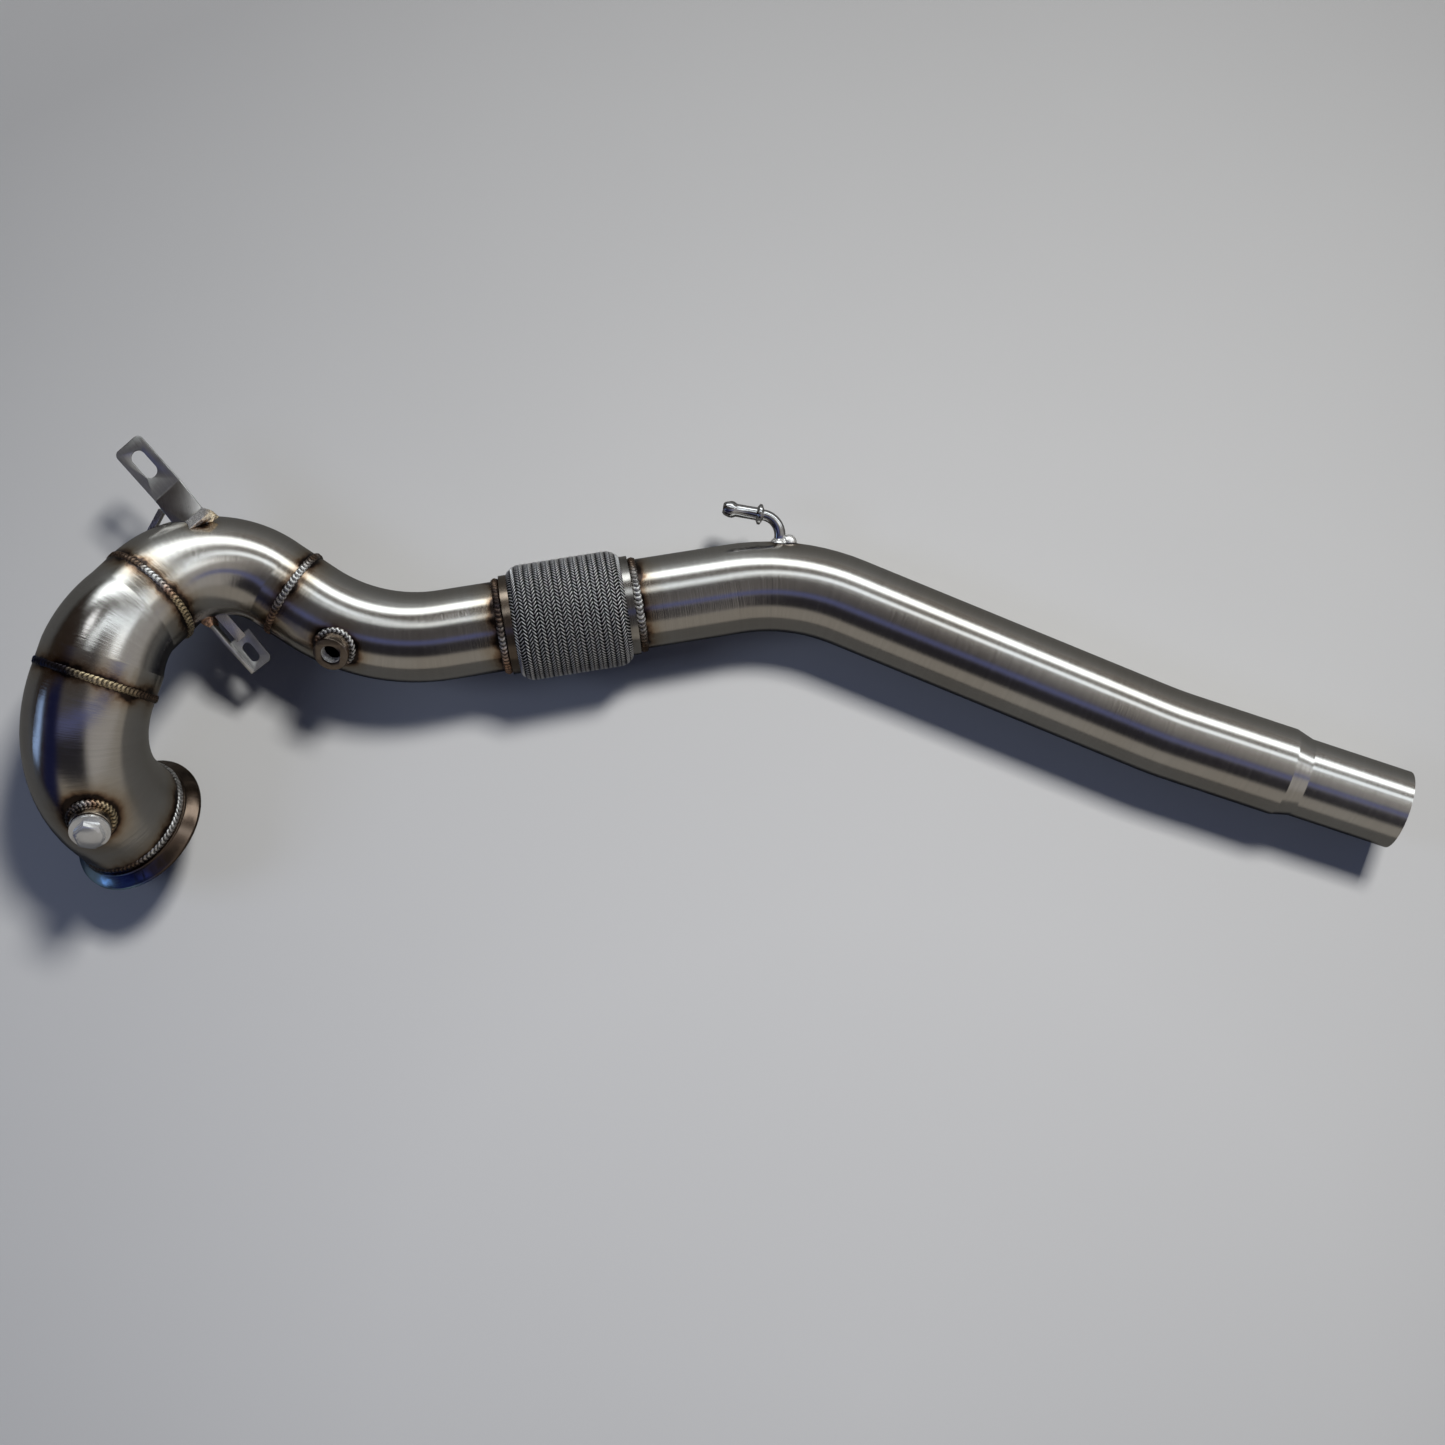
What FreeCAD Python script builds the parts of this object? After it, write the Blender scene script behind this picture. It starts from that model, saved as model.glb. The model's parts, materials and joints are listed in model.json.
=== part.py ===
import FreeCAD, Part
import math
import os
import Sketcher

# Turbo downpipe: a welded stainless pipe from a turbo's outlet to the exhaust.
# Exhaust enters at the clamp flange, climbs out through a wide elbow, turns over
# through a reducing sleeve and a reducing elbow, passes a braided flex coupling
# and leaves by a long pipe with a swaged slip end.
# Lengths are in millimetres and angles in degrees.
# Frame: origin at the centre of the flange's mating face, +X along the slip end
# the way the exhaust leaves, +Z up as the pipe lies on a bench.

SIZES = [
    # Tube sizes
    ("pipe_od", 76.2), ("pipe_wall", 1.5),
    ("inlet_od", 101.6), ("inlet_wall", 1.5),
    ("middle_od", 90.0),
    # Outlet pipe, from the slip end upstream
    ("tail_od", 68.0), ("tail_length", 88.0), ("swage_length", 15.0),
    ("tail_run", 91.4), ("back_bend_angle", 4.0), ("back_bend_radius", 400.0),
    ("long_run", 277.4), ("main_bend_roll", 186.303), ("main_bend_angle", 31.7),
    ("main_bend_radius", 179.0), ("neck_run", 90.9),
    # Lower elbow, upstream of the flex coupling
    ("lower_run", 56.9), ("lower_elbow_roll", 176.4), ("lower_elbow_angle", 42.7),
    ("lower_elbow_radius", 156.0), ("lower_stub", 18.7),
    # Upper elbow, which narrows from the middle size to the pipe size
    ("upper_stub", 18.0), ("upper_elbow_roll", 201.8), ("upper_elbow_angle", 82.9),
    ("upper_elbow_radius", 74.5), ("upper_end_stub", 6.0),
    # Reducing sleeve, kinked between its two straight ends
    ("sleeve_run", 20.8), ("sleeve_roll", -43.6), ("sleeve_angle", 30.4), ("sleeve_radius", 83.0),
    ("sleeve_collar", 19.6),
    # Inlet elbow
    ("inlet_stub", 6.0), ("inlet_elbow_roll", -9.2), ("inlet_elbow_angle", 73.4),
    ("inlet_elbow_radius", 94.0), ("inlet_end_stub", 17.794),
    # Clamp flange
    ("flange_lip", 10.2), ("flange_thickness", 16.0), ("flange_rim", 3.2), ("flange_root_wall", 2.7),
    ("flange_root_length", 2.3), ("flange_groove", 0.7), ("flange_edge_break", 0.6),
    # Weld beads
    ("bead_width", 7.0), ("bead_height", 1.7),
    # Flex coupling
    ("flex_half", 54.5), ("collar_length", 6.5), ("collar_od", 84.0), ("pipe_engagement", 5.0),
    ("flex_bead_height", 2.8),
    ("bellows_wall", 0.6), ("bellows_crest_od", 91.0), ("bellows_count", 9), ("bellows_end", 38.0),
    ("braid_od", 98.0), ("braid_wall", 1.6), ("braid_shoulder", 12.0),
    ("liner_wall", 1.2), ("liner_clearance", 0.1), ("liner_end_gap", 0.5),
    # Sensor bungs and the plug
    ("bung_od", 34.0), ("bung_bore", 16.5), ("bung_height", 11.0), ("port_hole", 18.0),
    ("plugged_angle", 52.0), ("plugged_around", 44.0), ("open_angle", 30.0), ("open_around", -53.0),
    ("open_bung_od", 30.0), ("bung_saddle", 6.0), ("bung_bead", 5.0), ("open_bung_bead", 3.5),
    ("washer_od", 26.0), ("washer_thickness", 1.6),
    ("plug_flange_od", 33.0), ("plug_flange_thickness", 2.6), ("plug_flats", 22.0), ("plug_head", 8.0),
    ("plug_shank", 12.0), ("plug_clearance", 0.1), ("plug_chamfer", 1.6),
    # Upper bracket, a bent strap on the outside of the upper elbow, and the rib under it
    ("upper_angle", 50.0), ("upper_around", 48.0), ("upper_heading", 149.4), ("upper_climb", -22.0),
    ("strap_width", 27.0), ("strap_thickness", 3.5), ("strap_bend_radius", 5.0), ("strap_bend", 28.0),
    ("strap_leg", 37.0), ("tab_length", 49.0), ("tab_corner", 5.0),
    ("slot_length", 26.0), ("slot_width", 12.5), ("slot_from_tip", 22.0),
    ("rib_angle", 65.0), ("rib_around", 3.0), ("rib_heading", 78.0), ("rib_climb", 8.0),
    ("rib_thickness", 5.0), ("rib_depth", 8.0), ("rib_length", 21.0), ("plate_sink", 9.0),
    # Lower bracket, an angle plate under the inside of the upper elbow, and its brace
    ("lower_angle", 34.0), ("lower_around", -148.0), ("lower_heading", -32.8), ("lower_drop", 10.4),
    ("lower_shift", 3.1), ("angle_thickness", 3.0), ("angle_width", 22.0), ("angle_height", 18.0),
    ("angle_reach", 20.9), ("lower_tab_length", 32.0), ("lower_tip_height", 5.0),
    ("lower_slot_length", 18.0), ("lower_slot_width", 8.5), ("lower_slot_from_tip", 15.0),
    ("lower_corner", 3.0), ("brace_width", 9.0), ("brace_thickness", 3.0), ("brace_shift", 1.0),
    ("brace_tilt", -20.0), ("bracket_bead", 4.0),
    # Hose nozzle on the outside of the main bend
    ("nozzle_angle", 19.8), ("nozzle_around", 13.0), ("nozzle_od", 9.5), ("nozzle_bore", 6.0),
    ("nozzle_rise", 5.0), ("nozzle_bend_radius", 17.0), ("nozzle_bend_angle", 83.0),
    ("nozzle_collar_od", 17.5), ("nozzle_collar_length", 6.0), ("barrel_od", 11.0),
    ("barrel_length", 17.0), ("tip_od", 14.0), ("tip_length", 11.6), ("nozzle_fillet", 3.0),
    ("puddle_radius", 6.5), ("puddle_offset", 8.0),
]

doc = FreeCAD.newDocument("downpipe")
sheet = doc.addObject("Spreadsheet::Sheet", "sizes")
for row, (alias, value) in enumerate(SIZES, start=1):
    sheet.set(f"A{row}", alias)
    sheet.set(f"B{row}", str(value))
    sheet.setAlias(f"B{row}", alias)
doc.recompute()


class Size:
    """A number that remembers the spreadsheet expression it came from."""

    def __init__(self, value, text):
        self.value = value
        self.text = text

    def join(self, other, sign, value):
        return Size(value, f"({self.text} {sign} {as_size(other).text})")

    def __add__(self, other):
        return self.join(other, "+", self.value + as_size(other).value)

    def __sub__(self, other):
        return self.join(other, "-", self.value - as_size(other).value)

    def __mul__(self, other):
        return self.join(other, "*", self.value * as_size(other).value)

    def __truediv__(self, other):
        return self.join(other, "/", self.value / as_size(other).value)

    def __rsub__(self, other):
        return as_size(other) - self

    def __rmul__(self, other):
        return as_size(other) * self

    def __neg__(self):
        return as_size(0) - self


def as_size(number):
    return number if isinstance(number, Size) else Size(float(number), repr(float(number)))


def named(alias):
    return Size(float(sheet.get(alias)), f"sizes.{alias}")


size = {alias: named(alias) for alias, _ in SIZES}
mm = {alias: item.value for alias, item in size.items()}
V = FreeCAD.Vector


# The route, walked upstream from the slip end.

def frame(origin, along, side):
    """A placement at origin with Z along the pipe and Y along side."""
    return FreeCAD.Placement(origin, FreeCAD.Rotation(side.cross(along), side, along, "ZXY"))


class Walk:
    """A point that moves up the pipe's centreline and notes each station."""

    def __init__(self):
        self.point = V(0, 0, 0)
        self.along = V(-1, 0, 0)
        self.side = V(0, 0, -1)
        self.at = {}

    def mark(self, station):
        self.at[station] = frame(self.point, self.along, self.side)

    def straight(self, station, *aliases):
        self.mark(station)
        self.point = self.point + self.along * sum(mm[alias] for alias in aliases)

    def bend(self, station, angle, radius, roll=0.0):
        self.side = FreeCAD.Rotation(self.along, roll).multVec(self.side)
        self.mark(station)
        outward = self.along.cross(self.side)
        centre = self.point - outward * radius
        turn = FreeCAD.Rotation(self.side, angle)
        self.at[station + "_centre"] = FreeCAD.Placement(
            centre, FreeCAD.Rotation(outward, self.along, self.side, "ZXY"))
        self.point = centre + turn.multVec(self.point - centre)
        self.along = turn.multVec(self.along)


route = Walk()
route.straight("tail", "tail_length")
route.straight("swage", "swage_length")
route.straight("tail_run", "tail_run")
route.bend("back_bend", mm["back_bend_angle"], mm["back_bend_radius"])
route.straight("long_run", "long_run")
route.bend("main_bend", mm["main_bend_angle"], mm["main_bend_radius"], mm["main_bend_roll"])
route.straight("neck_run", "neck_run")
route.mark("flex_rear")
route.point = route.point + route.along * (mm["flex_half"] - mm["pipe_engagement"])
route.mark("flex")
route.point = route.point + route.along * (mm["flex_half"] - mm["pipe_engagement"])
route.straight("lower_run", "lower_run")
route.bend("lower_elbow", mm["lower_elbow_angle"], mm["lower_elbow_radius"], mm["lower_elbow_roll"])
route.straight("lower_stub", "lower_stub")
route.straight("upper_stub", "upper_stub")
route.bend("upper_elbow", mm["upper_elbow_angle"], mm["upper_elbow_radius"], mm["upper_elbow_roll"])
route.straight("upper_end", "upper_end_stub")
route.straight("sleeve_run", "sleeve_run")
route.bend("sleeve_bend", mm["sleeve_angle"], mm["sleeve_radius"], mm["sleeve_roll"])
route.straight("sleeve_collar", "sleeve_collar")
route.straight("inlet_stub", "inlet_stub")
route.bend("inlet_elbow", mm["inlet_elbow_angle"], mm["inlet_elbow_radius"], mm["inlet_elbow_roll"])
route.straight("inlet_end", "inlet_end_stub")
route.straight("flange", "flange_thickness")
route.mark("mating_face")

to_flange = FreeCAD.Placement(-route.point, FreeCAD.Rotation())
at = {station: to_flange.multiply(place) for station, place in route.at.items()}


# Sketches and features.

def bind(item, field, value):
    """Give a property its number and the expression behind it."""
    value = as_size(value)
    item.setExpression(field, value.text)


def sketch_on(body, name, place):
    """A sketch whose plane is the XY plane of place, given in the body's frame."""
    sketch = body.newObject("Sketcher::SketchObject", name)
    plane = [item for item in body.Origin.OriginFeatures if item.Role == "XY_Plane"][0]
    sketch.AttachmentSupport = [(plane, "")]
    sketch.MapMode = "FlatFace"
    sketch.AttachmentOffset = place
    return sketch


def hold(sketch, kind, *where, value):
    """A dimension in the sketch, bound to the sheet."""
    value = as_size(value)
    index = sketch.addConstraint(Sketcher.Constraint(kind, *where, value.value))
    name = f"size_{index}"
    sketch.renameConstraint(index, name)
    sketch.setExpression("Constraints." + name, value.text)


def pin_point(sketch, geometry, end, x, y):
    """Fix one point of the sketch at x, y."""
    for kind, value, axis in (("DistanceX", as_size(x), -2), ("DistanceY", as_size(y), -1)):
        if value.value == 0:
            sketch.addConstraint(Sketcher.Constraint("PointOnObject", geometry, end, axis))
        else:
            hold(sketch, kind, -1, 1, geometry, end, value=value)


def circle(sketch, radius, x=0, y=0):
    x, y, radius = as_size(x), as_size(y), as_size(radius)
    index = sketch.addGeometry(Part.Circle(V(x.value, y.value, 0), V(0, 0, 1), radius.value), False)
    hold(sketch, "Radius", index, value=radius)
    pin_point(sketch, index, 3, x, y)


def outline(sketch, corners):
    """A closed outline of straight lines through the corners."""
    corners = [(as_size(x), as_size(y)) for x, y in corners]
    first = None
    for index, (x, y) in enumerate(corners):
        end_x, end_y = corners[(index + 1) % len(corners)]
        line = Part.LineSegment(V(x.value, y.value, 0), V(end_x.value, end_y.value, 0))
        geometry = sketch.addGeometry(line, False)
        first = geometry if first is None else first
        if index:
            sketch.addConstraint(Sketcher.Constraint("Coincident", geometry - 1, 2, geometry, 1))
    sketch.addConstraint(Sketcher.Constraint("Coincident", geometry, 2, first, 1))
    for index, (x, y) in enumerate(corners):
        pin_point(sketch, first + index, 1, x, y)


def rectangle(sketch, width, height, x=0, y=0):
    """A rectangle centred on x, y."""
    x, y = as_size(x), as_size(y)
    outline(sketch, [(x - width / 2, y - height / 2), (x + width / 2, y - height / 2),
                     (x + width / 2, y + height / 2), (x - width / 2, y + height / 2)])


def slot(sketch, length, width, x, y):
    """An obround of the given length along Y, centred on x, y."""
    radius = width / 2
    reach = (length - width) / 2
    x, y = as_size(x), as_size(y)
    top = V(x.value, (y + reach).value, 0)
    low = V(x.value, (y - reach).value, 0)
    step = V(radius.value, 0, 0)
    up = Part.ArcOfCircle(Part.Circle(top, V(0, 0, 1), radius.value), 0, math.pi)
    down = Part.ArcOfCircle(Part.Circle(low, V(0, 0, 1), radius.value), math.pi, 2 * math.pi)
    a = sketch.addGeometry(up, False)
    b = sketch.addGeometry(Part.LineSegment(top - step, low - step), False)
    c = sketch.addGeometry(down, False)
    d = sketch.addGeometry(Part.LineSegment(low + step, top + step), False)
    for first, end, second, start in ((a, 2, b, 1), (b, 2, c, 1), (c, 2, d, 1), (d, 2, a, 1)):
        sketch.addConstraint(Sketcher.Constraint("Tangent", first, end, second, start))
    sketch.addConstraint(Sketcher.Constraint("Vertical", b))
    pin_point(sketch, a, 3, x, y + reach)
    pin_point(sketch, c, 3, x, y - reach)
    hold(sketch, "Radius", a, value=radius)


def new_body(label, place):
    body = doc.addObject("PartDesign::Body", label)
    body.Label = label
    body.Placement = place
    return body


def pad(body, sketch, length, back=False):
    feature = body.newObject("PartDesign::Pad", sketch.Name + "_pad")
    feature.Profile = sketch
    feature.Reversed = back
    bind(feature, "Length", length)
    return feature


def pocket(body, sketch, length, back=False):
    feature = body.newObject("PartDesign::Pocket", sketch.Name + "_pocket")
    feature.Profile = sketch
    feature.Reversed = back
    bind(feature, "Length", length)
    return feature


def revolve(body, sketch, angle=360):
    feature = body.newObject("PartDesign::Revolution", sketch.Name + "_turn")
    feature.Profile = sketch
    feature.ReferenceAxis = (sketch, ["V_Axis"])
    bind(feature, "Angle", angle)
    return feature


def ring(radius, wall):
    """A section drawer for a tube."""
    def draw(sketch, x):
        circle(sketch, radius, x)
        circle(sketch, radius - wall, x)
    return draw


def run(body, name, place, section, length):
    """A straight run of the section, from place along its Z."""
    sketch = sketch_on(body, name, body.Placement.inverse().multiply(place))
    section(sketch, as_size(0))
    return pad(body, sketch, length)


# A sketch's Z lies along -Y of a bend's centre frame.
SECTION_PLANE = FreeCAD.Placement(V(0, 0, 0), FreeCAD.Rotation(V(1, 0, 0), 90))


def bend(body, name, place, section, angle, radius):
    """A bend of the section about the Z axis of a bend's centre frame."""
    plane = body.Placement.inverse().multiply(place).multiply(SECTION_PLANE)
    sketch = sketch_on(body, name, plane)
    section(sketch, radius)
    return revolve(body, sketch, angle)


def turned(label, place, corners):
    """A piece turned about the Z axis of place. A corner is its radius and its height."""
    body = new_body(label, place)
    sketch = sketch_on(body, label + "_profile", SECTION_PLANE)
    outline(sketch, corners)
    revolve(body, sketch)
    return body


def weld_bead(label, place, radius, width, height):
    """A round-topped bead that lies round a tube, centred on place."""
    body = new_body(label, place)
    sketch = sketch_on(body, label + "_profile", SECTION_PLANE)
    half = width / 2
    curve = (half * half + height * height) / (2 * height)
    centre = radius + height - curve
    sweep = math.asin(half.value / curve.value)
    arc = Part.ArcOfCircle(Part.Circle(V(centre.value, 0, 0), V(0, 0, 1), curve.value), -sweep, sweep)
    top = sketch.addGeometry(arc, False)
    foot = sketch.addGeometry(
        Part.LineSegment(V(radius.value, half.value, 0), V(radius.value, -half.value, 0)), False)
    sketch.addConstraint(Sketcher.Constraint("Coincident", top, 2, foot, 1))
    sketch.addConstraint(Sketcher.Constraint("Coincident", foot, 2, top, 1))
    pin_point(sketch, foot, 1, radius, half)
    hold(sketch, "DistanceX", -1, 1, foot, 2, value=radius)
    hold(sketch, "DistanceX", -1, 1, top, 3, value=centre)
    sketch.addConstraint(Sketcher.Constraint("PointOnObject", top, 3, -1))
    revolve(body, sketch)
    return body


def cut(label, base, tool):
    result = doc.addObject("Part::Cut", label)
    result.Label = label
    result.Base = base
    result.Tool = tool
    return result


def shifted(place, x=0, y=0, z=0):
    return place.multiply(FreeCAD.Placement(V(x, y, z), FreeCAD.Rotation()))


def turned_about(place, axis, angle):
    return place.multiply(FreeCAD.Placement(V(0, 0, 0), FreeCAD.Rotation(axis, angle)))


# Outlet pipe: one mandrel-bent tube with its end swaged down.

pipe_radius = size["pipe_od"] / 2
inlet_radius = size["inlet_od"] / 2
middle_radius = size["middle_od"] / 2
pipe = ring(pipe_radius, size["pipe_wall"])

outlet = new_body("outlet_pipe", at["tail"])
profile = sketch_on(outlet, "swage_profile", SECTION_PLANE)
tail_radius = size["tail_od"] / 2
swage_end = size["tail_length"] + size["swage_length"]
outline(profile, [
    (tail_radius, 0),
    (tail_radius, size["tail_length"]),
    (pipe_radius, swage_end),
    (pipe_radius - size["pipe_wall"], swage_end),
    (tail_radius - size["pipe_wall"], size["tail_length"]),
    (tail_radius - size["pipe_wall"], 0),
])
revolve(outlet, profile)
run(outlet, "tail_run", at["tail_run"], pipe, size["tail_run"])
bend(outlet, "back_bend", at["back_bend_centre"], pipe, size["back_bend_angle"], size["back_bend_radius"])
run(outlet, "long_run", at["long_run"], pipe, size["long_run"])
bend(outlet, "main_bend", at["main_bend_centre"], pipe, size["main_bend_angle"], size["main_bend_radius"])
run(outlet, "neck_run", at["neck_run"], pipe, size["neck_run"])

# Lower elbow: a straight into the flex coupling, then a long-radius bend.

lower = new_body("lower_elbow", at["lower_run"])
run(lower, "lower_run", at["lower_run"], pipe, size["lower_run"])
bend(lower, "lower_bend", at["lower_elbow_centre"], pipe, size["lower_elbow_angle"],
     size["lower_elbow_radius"])
run(lower, "lower_stub", at["lower_stub"], pipe, size["lower_stub"])

# Inlet elbow: tight, in the widest tube.

inlet_tube = ring(inlet_radius, size["inlet_wall"])
inlet = new_body("inlet_elbow", at["inlet_stub"])
run(inlet, "inlet_stub", at["inlet_stub"], inlet_tube, size["inlet_stub"])
bend(inlet, "inlet_bend", at["inlet_elbow_centre"], inlet_tube, size["inlet_elbow_angle"],
     size["inlet_elbow_radius"])
run(inlet, "inlet_end", at["inlet_end"], inlet_tube, size["inlet_end_stub"])

# Upper elbow and sleeve: formed tubes that change diameter round their bend.

def swept_solid(label, station, start_radius, end_radius, angle, radius, start_run, end_run):
    """A solid that follows one bend and its two straights, from one radius to another."""
    centre = at[station + "_centre"]
    spine = doc.addObject("Part::Circle", label + "_spine")
    spine.Placement = centre
    bind(spine, "Radius", radius)
    bind(spine, "Angle2", angle)
    sections = []
    for name, section_radius, turn in (("start", start_radius, 0.0), ("end", end_radius, angle.value)):
        section = doc.addObject("Part::Circle", f"{label}_{name}")
        plane = turned_about(centre, V(0, 0, 1), turn).multiply(SECTION_PLANE)
        section.Placement = shifted(plane, x=radius.value)
        bind(section, "Radius", section_radius)
        sections.append(section)
    sweep = doc.addObject("Part::Sweep", label + "_sweep")
    sweep.Sections = sections
    sweep.Spine = (spine, ["Edge1"])
    sweep.Solid = True
    sweep.Frenet = True
    parts = [sweep]
    for run_station, run_radius, length in ((start_run[0], start_radius, start_run[1]),
                                            (end_run[0], end_radius, end_run[1])):
        straight = doc.addObject("Part::Cylinder", f"{label}_{run_station}")
        straight.Placement = at[run_station]
        bind(straight, "Radius", run_radius)
        bind(straight, "Height", length)
        parts.append(straight)
    solid = doc.addObject("Part::MultiFuse", label)
    solid.Shapes = parts
    return solid


def reducing_elbow(label, station, start_radius, end_radius, angle, radius, start_run, end_run):
    """The elbow's wall, and the solid that its outside encloses."""
    outside = swept_solid(label + "_outside", station, start_radius, end_radius, angle, radius,
                          start_run, end_run)
    wall = size["pipe_wall"]
    inside = swept_solid(label + "_inside", station, start_radius - wall, end_radius - wall, angle,
                         radius, start_run, end_run)
    return cut(label, outside, inside), outside


upper, upper_outside = reducing_elbow(
    "upper_elbow", "upper_elbow", pipe_radius, middle_radius,
    size["upper_elbow_angle"], size["upper_elbow_radius"],
    ("upper_stub", size["upper_stub"]), ("upper_end", size["upper_end_stub"]))
sleeve, sleeve_outside = reducing_elbow(
    "reducing_sleeve", "sleeve_bend", middle_radius, inlet_radius,
    size["sleeve_angle"], size["sleeve_radius"],
    ("sleeve_run", size["sleeve_run"]), ("sleeve_collar", size["sleeve_collar"]))

# Clamp flange: a turned ring with a cone for the band clamp.

flange_radius = size["inlet_od"] / 2 + size["flange_lip"]
root_radius = size["inlet_od"] / 2 + size["flange_root_wall"]
neck = size["bead_width"] / 2
cone_foot = neck + size["flange_root_length"]
rim_foot = size["flange_thickness"] - size["flange_rim"]
edge = size["flange_edge_break"]
groove = size["flange_groove"]
flange = turned("inlet_flange", at["flange"], [
    (inlet_radius - size["inlet_wall"], 0),
    (inlet_radius, 0),
    (inlet_radius, neck),
    (root_radius, neck),
    (root_radius, cone_foot - groove),
    (root_radius - groove, cone_foot - groove),
    (root_radius - groove, cone_foot),
    (flange_radius, rim_foot),
    (flange_radius, size["flange_thickness"] - edge),
    (flange_radius - edge, size["flange_thickness"]),
    (inlet_radius - size["inlet_wall"], size["flange_thickness"]),
])

# Butt welds round the pipe, each over the joint of two pieces.

bead = (size["bead_width"], size["bead_height"])
inlet_weld = weld_bead("inlet_weld", at["flange"], inlet_radius, *bead)
elbow_weld_1 = weld_bead("elbow_weld_1", at["inlet_stub"], inlet_radius, *bead)
elbow_weld_2 = weld_bead("elbow_weld_2", at["sleeve_run"], middle_radius, *bead)
elbow_weld_3 = weld_bead("elbow_weld_3", at["upper_stub"], pipe_radius, *bead)

# Flex coupling: liner, bellows, braid, and at each end a collar welded to its pipe.

flex = at["flex"]
half = size["flex_half"]
bellows_radius = pipe_radius + size["bellows_wall"]
collar_radius = size["collar_od"] / 2
for end, side, pipe_side in (("rear", 1, -1), ("front", -1, 1)):
    outer_end = shifted(flex, z=pipe_side * mm["flex_half"])
    collar_base = outer_end if side == 1 else shifted(outer_end, z=-mm["collar_length"])
    turned(f"flex_{end}_collar", collar_base, [
        (bellows_radius, 0),
        (collar_radius, 0),
        (collar_radius, size["collar_length"]),
        (bellows_radius, size["collar_length"]),
    ])
    bead_place = shifted(outer_end, z=pipe_side * mm["bead_width"] / 2)
    weld_bead(f"flex_{end}_weld", bead_place, pipe_radius, size["bead_width"], size["flex_bead_height"])

liner_radius = pipe_radius - size["liner_clearance"]
liner_end = size["pipe_engagement"] + size["liner_end_gap"]
flex_rear = shifted(flex, z=-mm["flex_half"])
turned("flex_liner", flex_rear, [
    (liner_radius - size["liner_wall"], liner_end),
    (liner_radius, liner_end),
    (liner_radius, half * 2 - liner_end),
    (liner_radius - size["liner_wall"], half * 2 - liner_end),
])

crest_radius = size["bellows_crest_od"] / 2
folds = int(mm["bellows_count"])
pitch = size["bellows_end"] * 2 / folds
first_fold = half - size["bellows_end"]
wall = size["bellows_wall"]
crest_flat = pitch / 6
root_flat = pitch / 8
outer_side = [(bellows_radius, 0)]
inner_side = [(pipe_radius, 0)]
for fold in range(folds):
    start = first_fold + pitch * fold
    middle = start + pitch / 2
    finish = start + pitch
    outer_side += [(bellows_radius, start + root_flat), (crest_radius, middle - crest_flat),
                   (crest_radius, middle + crest_flat), (bellows_radius, finish - root_flat)]
    inner_side += [(pipe_radius, start + root_flat + wall),
                   (crest_radius - wall, middle - crest_flat + wall),
                   (crest_radius - wall, middle + crest_flat - wall),
                   (pipe_radius, finish - root_flat - wall)]
outer_side.append((bellows_radius, half * 2))
inner_side.append((pipe_radius, half * 2))
turned("flex_bellows", flex_rear, outer_side + inner_side[::-1])

braid = new_body("flex_braid", flex)
profile = sketch_on(braid, "braid_profile", SECTION_PLANE)
braid_radius = size["braid_od"] / 2
drop = braid_radius - collar_radius
shoulder = size["braid_shoulder"]
curve = (shoulder * shoulder + drop * drop) / (2 * drop)
inner_curve = curve - size["braid_wall"]
barrel_half = half - size["collar_length"] - shoulder
sweep = math.asin(shoulder.value / curve.value)
hub = braid_radius - curve


def barrel_arc(radius, up):
    """One shoulder of the braid, above or below the middle."""
    centre = V(hub.value, up * barrel_half.value, 0)
    first, last = (0, sweep) if up == 1 else (-sweep, 0)
    index = profile.addGeometry(
        Part.ArcOfCircle(Part.Circle(centre, V(0, 0, 1), radius.value), first, last), False)
    hold(profile, "Radius", index, value=radius)
    hold(profile, "DistanceX", -1, 1, index, 3, value=hub)
    hold(profile, "DistanceY", -1, 1, index, 3, value=barrel_half * up)
    return index


def end_point(index, end):
    return profile.getPoint(index, end)


outer_top = barrel_arc(curve, 1)
outer_low = barrel_arc(curve, -1)
inner_top = barrel_arc(inner_curve, 1)
inner_low = barrel_arc(inner_curve, -1)
joints = (((outer_low, 2), (outer_top, 1)), ((outer_top, 2), (inner_top, 2)),
          ((inner_top, 1), (inner_low, 2)), ((inner_low, 1), (outer_low, 1)))
for (first, first_end), (second, second_end) in joints:
    line = profile.addGeometry(
        Part.LineSegment(end_point(first, first_end), end_point(second, second_end)), False)
    profile.addConstraint(Sketcher.Constraint("Coincident", first, first_end, line, 1))
    profile.addConstraint(Sketcher.Constraint("Coincident", second, second_end, line, 2))
revolve(braid, profile)

# Sensor bungs: turned bosses saddled onto their elbows, each with its weld.

def surface_frame(station, radius, angle, around, tube_radius, spin=0.0):
    """A frame on a bend's outer surface, with Z straight out of it and X along the tube."""
    centre = turned_about(at[station + "_centre"], V(0, 0, 1), angle)
    lift = math.radians(around)
    out = V(math.cos(lift), 0, math.sin(lift))
    ahead = V(0, 1, 0)
    place = FreeCAD.Placement(V(radius, 0, 0) + out * tube_radius,
                              FreeCAD.Rotation(ahead, out.cross(ahead), out, "ZXY"))
    return turned_about(centre.multiply(place), V(0, 0, 1), spin)


def elbow_outside(label, station, tube_radius, angle, radius):
    """The solid that a bend's outer skin encloses."""
    torus = doc.addObject("Part::Torus", label)
    torus.Placement = at[station + "_centre"]
    bind(torus, "Radius1", radius)
    bind(torus, "Radius2", tube_radius)
    bind(torus, "Angle3", angle)
    return torus


def port_hole(body, name, place, radius, reach):
    """A round hole through the near wall only."""
    start = shifted(place, z=reach.value)
    sketch = sketch_on(body, name, body.Placement.inverse().multiply(start))
    circle(sketch, radius)
    return pocket(body, sketch, reach * 2)


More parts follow.
